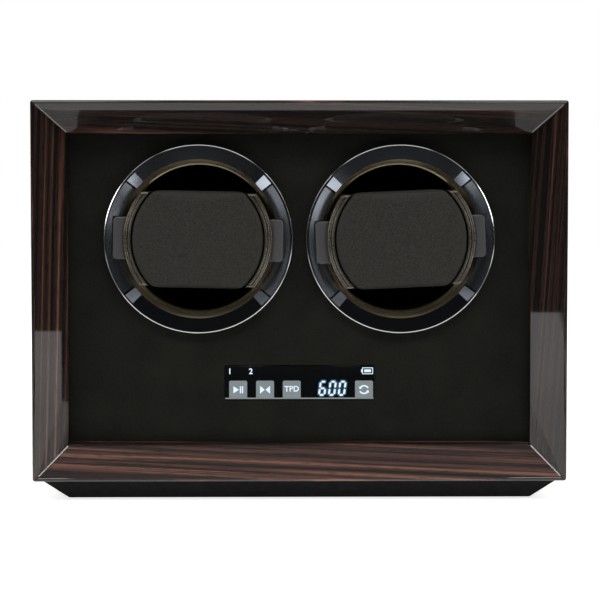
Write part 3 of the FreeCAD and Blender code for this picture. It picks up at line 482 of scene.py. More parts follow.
def pad_leather():
    """Corrected-grain leather: brown-black, dull, with a fine pebble and a few softer creases."""
    material, add, shader, place = start_material("corrected_grain_leather", {
        "Roughness": 0.6, "Specular IOR Level": 0.16})
    # The pebble is about 0.4 mm across, and is drawn at 0.6 mm so that it shows
    pebble = add("TexVoronoi", {"Vector": place, "Scale": per_mm(0.6)}, feature="SMOOTH_F1")
    pores = add("TexNoise", {"Vector": place, "Scale": per_mm(1.1), "Detail": 4.0})
    both = add("Math", {0: pores, 1: 0.8, 2: pebble}, operation="MULTIPLY_ADD")
    tone(shader, both, colours().leather, 0.55, 1.25, (0.4, 1.1))
    relief(shader, both, 0.16, 0.8)
    return material


def cell_jacket():
    """Shrink-wrapped cell: plain blue-grey sleeve with bare plated ends."""
    c = colours()
    material, add, shader, place = start_material("shrink_wrapped_cell", {
        "Roughness": 0.3, "Base Color": c.cell})
    bare_end = 2.2 * MM
    across = add("SeparateXYZ", {"Vector": place}).outputs["X"]
    run = add("Math", {0: across}, operation="ABSOLUTE")
    ends = step(run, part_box("battery_cells")[1].x - bare_end, 0.1 * MM)
    overlay(shader, ends, c.steel)
    feed(shader, {"Metallic": ends})
    return material


def lit_film(name, colour):
    """Translucent film lit from behind by diodes: flat, even light without grain."""
    material, add, shader, place = start_material(name, {"Roughness": 0.4, "Emission Strength": 1.0})
    cloud = add("TexNoise", {"Vector": place, "Scale": per_mm(5.0)})
    tone(shader, cloud, colour, 0.1, 0.12)
    tone(shader, cloud, colour, 0.9, 1.0, socket="Emission Color")
    return material


# Shapes
def axis_of(side):
    """Point on a rotor's axis."""
    low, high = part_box(side + "_rotor_shaft")
    return Vector(((low.x + high.x) / 2.0, 0.0, (low.z + high.z) / 2.0))


def ring_radius(side):
    low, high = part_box(side + "_rotor_ring")
    return (high.z - low.z) / 2.0


def rest_angle(side):
    return getattr(sizes(), side + "_angle")


def at_rest(side):
    """Transform that takes a form made about the Y axis to a rotor's axis and resting angle."""
    return Matrix.Translation(axis_of(side)) @ Matrix.Rotation(rest_angle(side), 4, "Y")


def dress(material, *names):
    """Gives CAD nodes a material."""
    for name in names:
        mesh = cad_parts[name].data
        mesh.materials.clear()
        mesh.materials.append(material)


def closed_mesh(points, faces):
    """Mesh of a form, with all its faces looking outwards."""
    mesh = bpy.data.meshes.new("form")
    mesh.from_pydata([tuple(p) for p in points], [], faces)
    mesh.validate()
    form = bmesh.new()
    form.from_mesh(mesh)
    bmesh.ops.recalc_face_normals(form, faces=form.faces)
    form.to_mesh(mesh)
    form.free()
    return mesh


def new_piece(name, mesh, material, body, smooth=True):
    """Piece that rides on a body, finished with the material given."""
    mesh.name = name
    mesh.materials.append(material)
    mesh.polygons.foreach_set("use_smooth", [smooth] * len(mesh.polygons))
    piece = bpy.data.objects.new(name, mesh)
    bpy.context.scene.collection.objects.link(piece)
    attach(piece, body)
    return piece


def lofted(rings, looped=False):
    """Points and faces of a skin over rings of the same count, closed at its ends or in a loop."""
    rows, count = len(rings), len(rings[0])
    faces = []
    for row in range(rows if looped else rows - 1):
        here, there = row * count, (row + 1) % rows * count
        for at in range(count):
            after = (at + 1) % count
            faces.append((here + at, here + after, there + after, there + at))
    if not looped:
        faces.append(tuple(reversed(range(count))))
        faces.append(tuple(range((rows - 1) * count, rows * count)))
    return [p for ring in rings for p in ring], faces


def joined(shapes):
    """Points and faces of several shapes as one."""
    points, faces = [], []
    for more_points, more_faces in shapes:
        start = len(points)
        points += more_points
        faces += [tuple(start + at for at in face) for face in more_faces]
    return points, faces


def arc(x, z, radius, angles):
    return [(x + radius * math.cos(angle), z + radius * math.sin(angle)) for angle in angles]


def rounded_outline(width, height, corner, top_only=False):
    """Closed outline of a rectangle with rounded corners, about its middle, as (x, z) points."""
    steps, sharp_share = 6, 0.05
    outline = []
    for number, (sx, sz) in enumerate(((1, 1), (-1, 1), (-1, -1), (1, -1))):
        radius = corner if sz > 0 or not top_only else sharp_share * corner
        cx, cz = sx * (width / 2.0 - radius), sz * (height / 2.0 - radius)
        angles = [math.radians(90.0 * (number + k / steps)) for k in range(steps + 1)]
        outline += arc(cx, cz, radius, angles)
    return outline


def block(x0, z0, x1, z1):
    """Outline of a rectangle."""
    return [(x0, z0), (x1, z0), (x1, z1), (x0, z1)]


def shifted(outlines, x, z, scale=1.0):
    """Outlines about a point."""
    return [[(x + px * scale, z + pz * scale) for px, pz in outline] for outline in outlines]


def middle_of(outline):
    return (sum(p[way] for p in outline) / len(outline) for way in (0, 1))


def film(name, outlines, front, proud, soft, material):
    """Flat pieces that stand a little off the display's window, as one object."""
    shoulder = 0.6 * proud
    shapes = []
    for outline in outlines:
        cx, cz = middle_of(outline)
        size = max(max(abs(x - cx), abs(z - cz)) for x, z in outline)
        inner = 1.0 - soft / size
        shapes.append(lofted([
            [(x, front, z) for x, z in outline],
            [(x, front - shoulder, z) for x, z in outline],
            [(cx + (x - cx) * inner, front - proud, cz + (z - cz) * inner) for x, z in outline]]))
    new_piece(name, closed_mesh(*joined(shapes)), material, "case", smooth=False)


def grown(outline, by):
    """Outline with each point moved away from its middle."""
    cx, cz = middle_of(outline)
    return [(x + math.copysign(by, x - cx), z + math.copysign(by, z - cz)) for x, z in outline]


def lettering(text, height):
    """Outlines of figures or letters in the built-in face, as triangles about their middle."""
    capital_share, boldness = 0.69, 0.03
    curve = bpy.data.curves.new("legend", "FONT")
    curve.body = text
    curve.size = height / capital_share
    curve.align_x = curve.align_y = "CENTER"
    curve.fill_mode = "FRONT"
    curve.offset = boldness * height
    holder = bpy.data.objects.new("legend", curve)
    mesh = bpy.data.meshes.new_from_object(holder)
    outlines = [[tuple(mesh.vertices[at].co.xy) for at in face.vertices] for face in mesh.polygons]
    bpy.data.objects.remove(holder)
    bpy.data.curves.remove(curve)
    bpy.data.meshes.remove(mesh)
    return outlines


def pad_outline(radius, half, corner):
    """Outline of a disc cut flat above and below, as (x, z) points: one half, and the same turned round."""
    reach = math.asin((half - corner) / (radius - corner))
    bend = math.pi / 2.0 - reach
    cx, cz = (radius - corner) * math.cos(reach), (radius - corner) * math.sin(reach)
    outline = arc(0.0, 0.0, radius, [reach * (k / 12.0 - 1.0) for k in range(25)])
    outline += arc(cx, cz, corner, [reach + bend * k / 6.0 for k in range(1, 7)])
    outline += [(cx * (1.0 - k / 7.0), cz + corner) for k in range(1, 14)]
    outline += arc(-cx, cz, corner, [math.pi / 2.0 + bend * k / 6.0 for k in range(6)])
    return outline + [(-x, -z) for x, z in outline]


def pad_form(outline, front, back, edge):
    """Plain padded form between two depths, with its rims rounded, as points and faces."""
    steps = 4
    angles = [math.radians(90.0 * k / steps) for k in range(steps + 1)]
    bends = [(edge * (1.0 - math.sin(angle)), edge * (1.0 - math.cos(angle))) for angle in angles]
    rims = [(inset, back - depth) for inset, depth in bends]
    rims += [(inset, front + depth) for inset, depth in reversed(bends)]
    size = max(max(abs(x), abs(z)) for x, z in outline)
    return lofted([[(x * (1.0 - inset / size), y, z * (1.0 - inset / size)) for x, z in outline]
                   for inset, y in rims])


def stuffed(points, faces, voxel, swell, held):
    """Mesh of a closed form whose skin is swollen by its stuffing, in a cloth simulation.

    held tells which points don't move, and no point moves further than swell.
    """
    scene = bpy.context.scene
    mesh = closed_mesh(points, faces)
    skin = bpy.data.objects.new("stuffing", mesh)
    scene.collection.objects.link(skin)
    remesh = skin.modifiers.new("cells", "REMESH")
    remesh.mode = "VOXEL"
    remesh.voxel_size = voxel
    graph = bpy.context.evaluated_depsgraph_get()
    fine = bpy.data.meshes.new_from_object(skin.evaluated_get(graph))
    skin.modifiers.clear()
    skin.data = fine
    rest = [v.co.copy() for v in fine.vertices]
    frames = 20
    pins = skin.vertex_groups.new(name="held")
    pins.add([at for at, p in enumerate(rest) if held(p)], 1.0, "REPLACE")
    cloth = skin.modifiers.new("leather", "CLOTH")
    cloth.settings.quality = 6
    cloth.settings.mass = 0.3
    cloth.settings.use_pressure = True
    cloth.settings.uniform_pressure_force = 4.0
    cloth.settings.vertex_group_mass = "held"
    cloth.settings.effector_weights.gravity = 0.0
    cloth.collision_settings.use_collision = False
    cloth.point_cache.frame_start = 1
    cloth.point_cache.frame_end = frames
    for number in range(1, frames + 1):
        scene.frame_set(number)
    graph = bpy.context.evaluated_depsgraph_get()
    swollen = [v.co.copy() for v in skin.evaluated_get(graph).data.vertices]
    skin.modifiers.clear()
    scene.frame_set(1)
    for vertex, before, after in zip(fine.vertices, rest, swollen):
        move = after - before
        if move.length > swell:
            move *= swell / move.length
        vertex.co = before + move
    bpy.data.objects.remove(skin)
    bpy.data.meshes.remove(mesh)
    return fine


# Operators
class WINDER_OT_case(Operator):
    """Veneers the case and frame, and fills the mitre valleys with lacquer"""

    bl_idname = "winder.case"
    bl_label = "Case and frame"

    def execute(self, context):
        s = sizes()
        low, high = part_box("frame_top_rail")
        tilt = math.atan2(s.bevel_drop, high.z - low.z - s.rail_land)
        for name, outward, *cut in LEAVES:
            panel = Vector(outward)
            bevel = panel * math.sin(tilt) + Vector((0.0, math.cos(tilt), 0.0))
            axis = 0 if panel.z else 2
            dress(macassar_veneer(f"{name}_rail", bevel, axis, *cut), f"frame_{name}_rail")
            dress(macassar_veneer(f"{name}_panel", panel, axis, *cut), f"case_{name}_panel")
        pooled = pooled_lacquer()
        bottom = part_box("frame_bottom_rail")[0].z
        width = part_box("frame_left_rail")[1].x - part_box("frame_left_rail")[0].x
        bead, root = s.bead_radius, 0.1 * MM
        arc_steps, run_steps = 10, 14
        angles = [math.radians(90.0 * k / arc_steps) for k in range(arc_steps + 1)]
        for vertical, edge_z, to_z in (("top", high.z, -1.0), ("bottom", bottom, 1.0)):
            for horizontal, edge_x, to_x in (("left", low.x, 1.0), ("right", high.x, -1.0)):
                rings = []
                for k in range(run_steps + 1):
                    share = k / run_steps
                    inset = s.rail_land + (width - s.rail_land) * share
                    y = low.y + s.bevel_drop * share
                    x, z = edge_x + to_x * inset, edge_z + to_z * inset
                    ring = [(x + to_x * bead * (1.0 - math.sin(angle)), y,
                             z + to_z * bead * (1.0 - math.cos(angle))) for angle in angles]
                    rings.append(ring + [(x - to_x * root, y + root, z - to_z * root)])
                new_piece(f"mitre_lacquer_{vertical}_{horizontal}", closed_mesh(*lofted(rings)), pooled,
                          "case")
        return {"FINISHED"}


class WINDER_OT_facia(Operator):
    """Covers the facia and finishes the plinth and feet"""

    bl_idname = "winder.facia"
    bl_label = "Facia, plinth and feet"

    def execute(self, context):
        dress(leatherette(), "facia_leather")
        dress(fibreboard(), "facia_board", "bulkhead", "bulkhead_battens", "rear_battens")
        dress(black_lacquer(), "plinth")
        dress(wool_felt(), "felt_feet")
        return {"FINISHED"}


class WINDER_OT_rotors(Operator):
    """Finishes the rotor rings and cups"""

    bl_idname = "winder.rotors"
    bl_label = "Rotors"

    def execute(self, context):
        for side in SIDES:
            dress(black_chrome(side), f"{side}_rotor_ring")
            dress(cup_plastic(side), f"{side}_rotor_cup")
            self.rim(side)
        return {"FINISHED"}

    def rim(self, side):
        """Thin dished trim round the bore of a cup, where its shoulder ends."""
        s = sizes()
        centre = axis_of(side)
        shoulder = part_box(f"{side}_rotor_cup")[0].y + s.shoulder_depth
        # Section as shares of the trim's width outwards and of its height to the front
        section = ((0.0, -0.1), (0.0, 0.45), (0.06, 0.6), (0.9, 0.95), (1.0, 0.8), (1.0, -0.1))
        inner, around = s.bore_radius - 0.1 * MM, 160
        reaches = [(inner + s.rim_width * out, shoulder - s.rim_height * up) for out, up in section]
        rings = []
        for k in range(around):
            angle = 2.0 * math.pi * k / around
            rings.append([(centre.x + reach * math.cos(angle), y, centre.z + reach * math.sin(angle))
                          for reach, y in reaches])
        finish = bare_metal(f"polished_brass_trim_{side}", shade(colours().cup, 1.7), 0.22, 0.4)
        new_piece(f"{side}_cup_rim", closed_mesh(*lofted(rings, looped=True)), finish, f"{side}_rotor",
                  smooth=False)


class WINDER_OT_cushions(Operator):
    """Makes the leather pads and finishes the carriers that hold them"""

    bl_idname = "winder.cushions"
    bl_label = "Cushions"

    def execute(self, context):
        s, c = sizes(), colours()
        leather = pad_leather()
        spring = bare_metal("blued_spring_steel", shade(c.steel, 0.7), 0.3, 0.3, "Z")
        piping = bare_metal("burnished_nickel_piping", c.piping, 0.28, 0.5)
        seam = 0.2 * MM
        outline = pad_outline(s.pad_radius - seam, s.pad_half - seam, s.pad_corner)
        for side in SIDES:
            dress(carrier_plastic(side), f"{side}_cushion_carrier")
            self.spring(side, spring)
            self.ribs(side, piping)
            for place, body in (("front", "cushion"), ("rear", "rear_pad")):
                self.pad(side, place, body, outline, leather)
        return {"FINISHED"}

    def pad(self, side, place, body, outline, leather):
        """Leather pad, stuffed on the side that shows and kept inside its CAD node's box."""
        s = sizes()
        node = f"{side}_cushion_{place}_pad"
        low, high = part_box(node)
        front = low.y + (s.pad_swell if place == "front" else 0.0)
        back = high.y - (s.pad_swell if place == "rear" else 0.0)
        points, faces = pad_form(outline, front, back, s.pad_edge)
        glued, glue_depth = back if place == "front" else front, 0.8 * MM
        mesh = stuffed(points, faces, s.pad_voxel, s.pad_swell, lambda p: abs(p.y - glued) < glue_depth)
        for vertex in mesh.vertices:
            p = vertex.co
            reach = math.hypot(p.x, p.z)
            if reach > s.pad_radius:
                p.x, p.z = p.x * s.pad_radius / reach, p.z * s.pad_radius / reach
            p.z = max(-s.pad_half, min(s.pad_half, p.z))
            p.y = max(low.y, min(high.y, p.y))
        mesh.transform(at_rest(side))
        piece = new_piece(f"{side}_{place}_leather_pad", mesh, leather, f"{side}_{body}")
        ease = piece.modifiers.new("ease", "SMOOTH")
        ease.factor, ease.iterations = 0.5, 2
        skin = piece.modifiers.new("skin", "SUBSURF")
        skin.levels = skin.render_levels = 1
        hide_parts(node)

    def spring(self, side, finish):
        """Bowed leaf spring behind a carrier's web, made only in its bowed shape."""
        s = sizes()
        node, joint = f"{side}_cushion_spring", f"{side}_rear_pad_press"
        low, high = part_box(node)
        bow = high.y - low.y - s.spring_thick
        radius = (s.spring_half ** 2 + bow ** 2) / (2.0 * bow)
        turn = at_rest(side)
        steps, tip, edge = 48, 0.12, 0.25
        deep, shy = s.spring_thick, s.spring_thick * edge
        rings = []
        for k in range(steps + 1):
            share = 2.0 * k / steps - 1.0
            x = s.spring_half * share
            y = low.y + math.sqrt(radius ** 2 - x ** 2) - (radius - bow)
            past = max(0.0, abs(share) - 1.0 + tip) / tip
            half = s.spring_width / 2.0 * math.sqrt(1.0 - 0.5 * past ** 2)
            section = ((shy, -half), (0.0, -half + shy), (0.0, half - shy), (shy, half), (deep - shy, half),
                       (deep, half - shy), (deep, -half + shy), (deep - shy, -half))
            rings.append([turn @ Vector((x, y + back, z)) for back, z in section])
        piece = new_piece(f"{side}_leaf_spring", closed_mesh(*lofted(rings)), finish, f"{side}_cushion")
        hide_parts(node)
        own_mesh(piece)

    def ribs(self, side, finish):
        """Thin rounded ribs along the front of a carrier's two cheeks, and a bead across each end."""
        s = sizes()
        turn, forward = at_rest(side), Vector((0.0, 1.0, 0.0))
        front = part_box(f"{side}_cushion_carrier")[0].y
        rows = [reach * MM for reach in (32.7, 33.8, 34.7)]
        inner, outer, end = 31.9 * MM, 35.0 * MM, s.pad_half - 1.3 * MM
        row_steps, end_steps, across, thinnest, bluntness = 40, 8, 8, 0.15, 12
        lines = []
        for middle in (0.0, math.pi):
            for reach in rows:
                span = math.asin(end / reach)
                lines.append((s.rib_radius, [(reach, middle + span * (2.0 * k / row_steps - 1.0))
                                             for k in range(row_steps + 1)]))
            reaches = [inner + (outer - inner) * k / end_steps for k in range(end_steps + 1)]
            for way in (-1.0, 1.0):
                lines.append((s.end_radius, [(reach, middle + way * math.asin(end / reach))
                                             for reach in reaches]))
        around = [2.0 * math.pi * j / across for j in range(across)]
        shapes = []
        for radius, line in lines:
            path = [turn @ Vector((reach * math.cos(angle), front, reach * math.sin(angle)))
                    for reach, angle in line]
            last = len(path) - 1
            rings = []
            for k, place in enumerate(path):
                thick = radius * max(thinnest, math.sqrt(1.0 - (2.0 * k / last - 1.0) ** bluntness))
                out = (path[min(k + 1, last)] - path[max(k - 1, 0)]).normalized().cross(forward)
                rings.append([place + thick * (math.cos(angle) * out + math.sin(angle) * forward)
                              for angle in around])
            shapes.append(lofted(rings))
        new_piece(f"{side}_cheek_ribs", closed_mesh(*joined(shapes)), finish, f"{side}_cushion")


class WINDER_OT_display(Operator):
    """Makes the lit keys, figures and signs of the display"""

    bl_idname = "winder.display"
    bl_label = "Display"

    def execute(self, context):
        s, c = sizes(), colours()
        dress(black_acrylic(), "touch_window")
        dress(moulded("black_abs_housing", c.moulding, 0.5, 0.8), "display_housing")
        low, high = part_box("touch_window")
        cx, cz, front = (low.x + high.x) / 2.0, (low.z + high.z) / 2.0, low.y
        key_film = lit_film("lit_key_film", c.key)
        light = lit_film("lit_legend_film", c.light)
        glow = lit_film("light_spread_in_acrylic", c.glow)
        lip = lit_film("lit_window_edge", shade(c.key, 1.1))
        # Places are in millimetres from the middle of the window
        key_x, key_z = (-29.4, -16.5, -3.7, 31.0), -3.55
        small_letters, sharp_edge = 2.6 * MM, 0.01 * MM

        def at(outlines, x, z, scale=1.0):
            return shifted(outlines, cx + x * MM, cz + z * MM, scale)

        key = rounded_outline(s.key_width, s.key_height, 0.8 * MM, top_only=True)
        film("display_keys", [outline for x in key_x for outline in at([key], x, key_z)], front,
             s.key_proud, 0.1 * MM, key_film)
        edge = rounded_outline(high.x - low.x - 0.5 * MM, 0.6 * MM, 0.2 * MM)
        film("display_lit_edge", shifted([edge], cx, low.z + 0.3 * MM), front, s.key_proud, 0.05 * MM, lip)
        legends = at(self.start_sign(), key_x[0], key_z, MM)
        legends += at(self.direction_sign(), key_x[1], key_z, MM)
        legends += at(lettering("TPD", small_letters), key_x[2], key_z + 0.3)
        legends += at(self.loop_sign(), key_x[3], key_z, MM)
        film("display_legends", legends, front - s.key_proud, s.glyph_proud, sharp_edge, light)
        figures = at(self.counter_figures(), 15.8, -2.9)
        film("display_glow", [grown(outline, 0.5 * MM) for outline in figures], front,
             0.4 * s.glyph_proud, sharp_edge, glow)
        for channel, x in (("1", -33.4), ("2", -23.3)):
            figures += at(lettering(channel, small_letters), x, 5.2)
        figures += at(self.battery_sign(), 32.7, 5.5, MM)
        film("display_figures", figures, front, s.glyph_proud, sharp_edge, light)
        return {"FINISHED"}

    def start_sign(self):
        """Start and pause sign in millimetres: a triangle beside two bars."""
        bars = [block(at, -1.7, at + 0.6, 1.7) for at in (0.8, 1.8)]
        return [[(-2.3, -1.7), (0.4, 0.0), (-2.3, 1.7)]] + bars

    def direction_sign(self):
        """Direction sign in millimetres: two triangles, one each way."""
        arrow = [(-2.4, -1.9), (-2.4, 1.9), (-0.2, 0.0)]
        return [arrow, [(-x, -z) for x, z in arrow]]

    def loop_sign(self):
        """Turning sign in millimetres: two arcs that chase each other, each with a head."""
        outer, inner, wide, flare = 2.2, 1.5, 1.15, 0.45
        middle = (outer + inner) / 2.0
        shapes = []
        for start in (25.0, 205.0):
            for k in range(9):
                a0, a1 = start + 13.0 * k, start + 13.0 * (k + 1)
                shapes.append(((outer, a0), (outer, a1), (inner, a1), (inner, a0)))
            neck, tip = start + 117.0, start + 150.0
            shapes.append(((outer + flare, neck), (middle, tip), (inner - flare, neck)))
        return [[(wide * r * math.cos(math.radians(a)), r * math.sin(math.radians(a))) for r, a in shape]
                for shape in shapes]

    def battery_sign(self):
        """Battery sign in millimetres: a frame, a nub and a charge block."""
        half, tall, line, gap = 2.6, 1.6, 0.36, 0.95
        return [
            block(-half, tall - line, half, tall), block(-half, -tall, half, -tall + line),
            block(-half, -tall, -half + line, tall), block(half - line, -tall, half, tall),
            block(-half - 0.5, -0.7, -half, 0.7), block(-half + gap, -tall + gap, half - gap, tall - gap),
        ]

    def counter_figures(self):
        """Leaning seven-segment figures of the counter, about its middle."""
        s = sizes()
        lit = {"0": "abcdef", "1": "bc", "2": "abged", "3": "abgcd", "4": "fgbc", "5": "afgcd",
               "6": "afgedc", "7": "abc", "8": "abcdefg", "9": "abcdfg"}
        half_w, half_h = s.digit_width / 2.0, s.digit_height / 2.0
        thick, gap = s.segment / 2.0, 0.2 * MM
        level = {"a": half_h - thick, "g": 0.0, "d": -half_h + thick}
        upright = {"f": (-1, 1), "b": (1, 1), "e": (-1, -1), "c": (1, -1)}
        outlines = []
        text = str(s.counter)
        pitch = s.digit_width + 1.2 * MM
        for number, figure in enumerate(text):
            middle = (number - (len(text) - 1) / 2.0) * pitch
            for name in lit[figure]:
                if name in level:
                    h, w = level[name], half_w - thick - gap
                    shape = [(-w, h), (-w + thick, h + thick), (w - thick, h + thick), (w, h),
                             (w - thick, h - thick), (-w + thick, h - thick)]
                else:
                    sx, sz = upright[name]
                    v = sx * (half_w - thick)
                    z0, z1 = sorted((sz * gap, sz * (half_h - thick - gap)))
                    shape = [(v, z0), (v + thick, z0 + thick), (v + thick, z1 - thick), (v, z1),
                             (v - thick, z1 - thick), (v - thick, z0 + thick)]
                outlines.append([(middle + px + s.digit_slant * pz, pz) for px, pz in shape])
        return outlines


class WINDER_OT_drive(Operator):
    """Finishes the drive and the electrical parts behind the facia"""

    bl_idname = "winder.drive"
    bl_label = "Drive and boards"

    def execute(self, context):
        c = colours()
        steel = bare_metal("zinc_plated_steel", c.steel, 0.28, 0.2)
        sheath = moulded("pvc_sheath", c.sheath, 0.5, 1.0)
        dress(circuit_board(), "display_board", "control_board")
        dress(sheath, "display_ribbon", "motor_leads")
        dress(steel, "display_screws", "bulkhead_screws", "gearbox_screws", "board_standoffs",
              "back_cover_screws")
        dress(bare_metal("sintered_bronze", c.bronze, 0.45, 0.4), "rotor_bushes")
        can = bare_metal("plated_motor_can", c.can, 0.3, 0.25)
        casting = moulded("die_cast_zinc", c.casting, 0.5, 0.5)
        feed(casting.node_tree.nodes["Principled BSDF"], {"Metallic": 1.0})
        acetal = moulded("natural_acetal", c.acetal, 0.4, 1.2)
        rubber = moulded("polyurethane_belt", c.rubber, 0.7, 0.4)
        for side in SIDES:
            dress(can, f"{side}_motor")
            dress(casting, f"{side}_gearbox")
            dress(acetal, f"{side}_cup_pulley", f"{side}_drive_pulley")
            dress(rubber, f"{side}_drive_belt")
            dress(steel, f"{side}_rotor_shaft", f"{side}_rotor_clip", f"{side}_gearbox_shaft")
        return {"FINISHED"}


class WINDER_OT_back(Operator):
    """Finishes the back cover, the battery and the power socket"""

    bl_idname = "winder.back"
    bl_label = "Back"

    def execute(self, context):
        c = colours()
        dress(painted_board(), "back_cover")
        dress(moulded("black_abs_door", c.moulding, 0.48, 0.8), "battery_door", "battery_tray")
        dress(moulded("black_pbt_socket", c.socket, 0.25, 1.5), "power_socket")
        dress(cell_jacket(), "battery_cells")
        return {"FINISHED"}


class WINDER_OT_stage(Operator):
    """Sets the floor, the studio light and the camera"""

    bl_idname = "winder.stage"
    bl_label = "Stage"

    def execute(self, context):
        scene = context.scene
        scene.view_settings.view_transform = "Standard"
        self.floor(scene)
        self.surroundings(scene)
        self.lights(scene)
        camera = bpy.data.objects.new("camera", bpy.data.cameras.new("camera"))
        camera.data.lens = 97.06
        camera.data.sensor_width = 36.0
        camera.data.shift_y = -0.1185
        camera.location = (-0.00769, -0.8372, 0.1591)
        camera.rotation_euler = (math.radians(90.0 - 2.333), 0.0, math.radians(-0.59))
        scene.collection.objects.link(camera)
        scene.camera = camera
        return {"FINISHED"}

    def floor(self, scene):
        """White sweep that glows with painted light, brighter in the picture, so that only a faint shadow
        shows on it.

            Painted black flags, a darker colour and a weaker glow for reflected rays, keep it out of the
            gloss of the case, apart from a band along the front and what lies straight before it.
        """
        material, add, shader, place = start_material("pale_studio_floor", {
            "Roughness": 0.9, "Specular IOR Level": 0.0})
        mottle = add("TexNoise", {"Vector": place, "Scale": 6.0})
        tint = tone(shader, mottle, colours().floor, 0.97, 1.0)
        path = add("LightPath").outputs
        where = add("SeparateXYZ", {"Vector": place}).outputs
        aside = add("Math", {0: where["X"]}, operation="ABSOLUTE")
        # Front and back of the band, and how far to each side what lies before it goes
        band_front, band_back, straight = -0.19, -0.07, 0.16
        before = add("MapRange", {
            "Value": step(where["Y"], band_front, 0.015), 3: step(aside, straight, 0.02), 4: 0.0})
        hidden = add("Math", {0: before, 1: step(where["Y"], band_back, 0.012)}, operation="MAXIMUM")
        flags = add("Math", {0: path["Is Glossy Ray"], 1: hidden}, operation="MULTIPLY")
        flagged = add("Mix", {0: flags, 6: tint, 7: (0.25, 0.25, 0.25, 1.0)}, data_type="RGBA",
                      blend_type="MULTIPLY")
        # Painted glow in place of light from below: as the camera sees it, as the case mirrors it, and
        # where it is flagged
        away = add("VectorMath", {0: place}, operation="LENGTH")
        near, far, pool_end, flagged_glow = 0.2, 0.6, 0.34, 0.08
        seen = add("MapRange", {"Value": away, 1: near, 2: far, 3: 0.88, 4: 1.2})
        pool = add("MapRange", {"Value": away, 1: near, 2: pool_end, 3: 0.62, 4: 0.86})
        mirrored = add("MapRange", {"Value": flags, 3: pool, 4: flagged_glow})
        glow = add("MapRange", {"Value": path["Is Camera Ray"], 3: mirrored, 4: seen})
        feed(shader, {"Base Color": flagged, "Emission Color": tint, "Emission Strength": glow})
        left, right, front, back = -0.85, 0.66, -0.34, 2.2
        mesh = bpy.data.meshes.new("studio_floor")
        mesh.from_pydata([(x, y, 0.0) for x, y in block(left, front, right, back)], [], [(0, 1, 2, 3)])
        mesh.materials.append(material)
        floor = bpy.data.objects.new("studio_floor", mesh)
        scene.collection.objects.link(floor)

    def surroundings(self, scene):
        """White behind everything in the picture, and a dim room in reflections."""
        world = bpy.data.worlds.new("studio")
        world.use_nodes = True
        tree = world.node_tree
        in_picture = add_node(tree, "LightPath").outputs["Is Camera Ray"]
        white, room = 1.0, 0.028
        strength = add_node(tree, "MapRange", {"Value": in_picture, 3: room, 4: white})
        feed(tree.nodes["Background"], {"Strength": strength, "Color": (1.0, 1.0, 1.0, 1.0)})
        scene.world = world

    def lights(self, scene):
        """Softboxes that shade the surfaces, and cards that are only seen in reflections.

        The ramp lights are masked off from the veneer.
        """
        veneered = bpy.data.collections.new("veneered")
        for name, *_ in LEAVES:
            for node in (f"frame_{name}_rail", f"case_{name}_panel"):
                veneered.objects.link(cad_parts[node])
        for member in veneered.collection_objects:
            member.light_linking.link_state = "EXCLUDE"
        target = Vector((0.0, -0.05, 0.1))
        up = Vector((0.0, 0.0, 1.0))
        # name, place, aim, width, height, radiance, shades, reflects
        plan = [
            ("key_softbox", (0.0, -0.92, 1.22), target, 1.0, 0.25, 13.0, True, False),
            ("left_softbox", (-1.0, -0.6, 0.9), target, 0.8, 0.8, 4.0, True, False),
            ("right_softbox", (1.0, -0.6, 0.9), target, 0.8, 0.8, 4.0, True, False),
            ("left_mitre_light", (-0.33, -0.67, 1.33), target, 0.3, 0.3, 12.0, False, True),
            ("right_mitre_light", (0.33, -0.67, 1.33), target, 0.3, 0.3, 12.0, False, True),
            ("front_strip", (0.0, -0.95, 0.93), target, 0.9, 0.25, 1.0, False, True),
            ("left_strip", (-0.62, -0.8, 0.64), target, 0.2, 0.45, 0.5, False, True),
            ("right_strip", (0.62, -0.8, 0.64), target, 0.2, 0.45, 0.5, False, True),
            ("left_ramp_light", (-0.88, -0.57, 0.36), target, 0.44, 0.28, 7.0, False, True),
            ("right_ramp_light", (0.88, -0.57, 0.36), target, 0.44, 0.28, 5.8, False, True),
            ("front_card", (0.0, -0.76, 0.002), None, 0.3, 0.34, 1.0, False, True),
            ("top_panel", (0.0, 0.0, 1.5), (0.0, 0.0, 0.0), 1.6, 1.6, 0.27, True, True),
            ("left_card", (-0.58, -0.42, 0.002), None, 0.76, 0.16, 0.8, True, True),
            ("right_card", (0.59, -0.47, 0.002), None, 0.78, 0.26, 1.4, True, True),
        ]
        for name, place, aim, width, height, radiance, shades, reflects in plan:
            lamp = bpy.data.lights.new(name, "AREA")
            lamp.shape = "RECTANGLE"
            lamp.size, lamp.size_y = width, height
            lamp.energy = radiance * math.pi * width * height
            light = bpy.data.objects.new(name, lamp)
            light.location = place
            light.rotation_mode = "QUATERNION"
            way = Vector(aim) - Vector(place) if aim else up
            light.rotation_quaternion = way.to_track_quat("-Z", "Y")
            light.visible_camera = False
            light.visible_diffuse = shades
            light.visible_glossy = reflects
            if name.endswith("ramp_light"):
                light.light_linking.receiver_collection = veneered
            scene.collection.objects.link(light)


class WINDER_PT_sidebar(Panel):
    """Steps and values of the watch winder box"""

    bl_label = "Watch winder box"
    bl_idname = "WINDER_PT_sidebar"
    bl_space_type = "VIEW_3D"
    bl_region_type = "UI"
    bl_category = "Winder"

    def draw(self, context):
        layout = self.layout
        for operator in OPERATORS:
            layout.operator(operator.bl_idname)
        for group in (context.scene.winder_sizes, context.scene.winder_colours):
            box = layout.box()
            for name in group.__annotations__:
                box.prop(group, name)


OPERATORS = (WINDER_OT_case, WINDER_OT_facia, WINDER_OT_rotors, WINDER_OT_cushions, WINDER_OT_display,
             WINDER_OT_drive, WINDER_OT_back, WINDER_OT_stage)
CLASSES = (WinderSizes, WinderColours) + OPERATORS + (WINDER_PT_sidebar,)


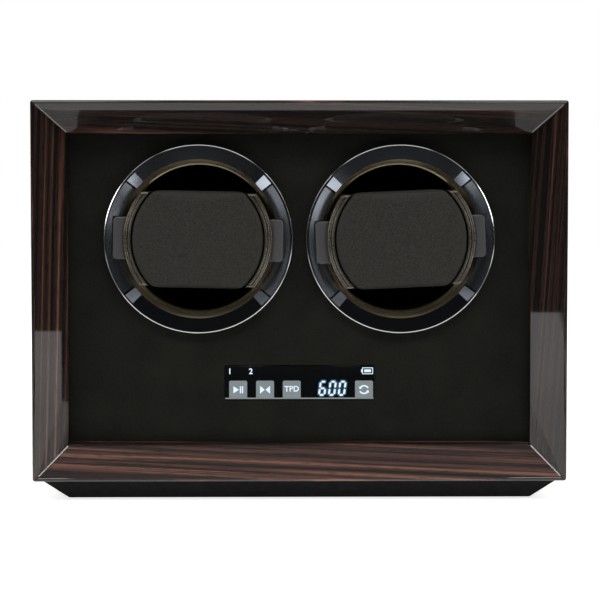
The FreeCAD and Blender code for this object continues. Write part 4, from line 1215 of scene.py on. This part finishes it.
def register():
    for kind in CLASSES:
        bpy.utils.register_class(kind)
    bpy.types.Scene.winder_sizes = PointerProperty(type=WinderSizes)
    bpy.types.Scene.winder_colours = PointerProperty(type=WinderColours)


def unregister():
    del bpy.types.Scene.winder_colours
    del bpy.types.Scene.winder_sizes
    for kind in reversed(CLASSES):
        bpy.utils.unregister_class(kind)


def main():
    register()
    for operator in OPERATORS:
        getattr(bpy.ops.winder, operator.bl_idname.split(".")[1])()


if __name__ == "__main__":
    main()
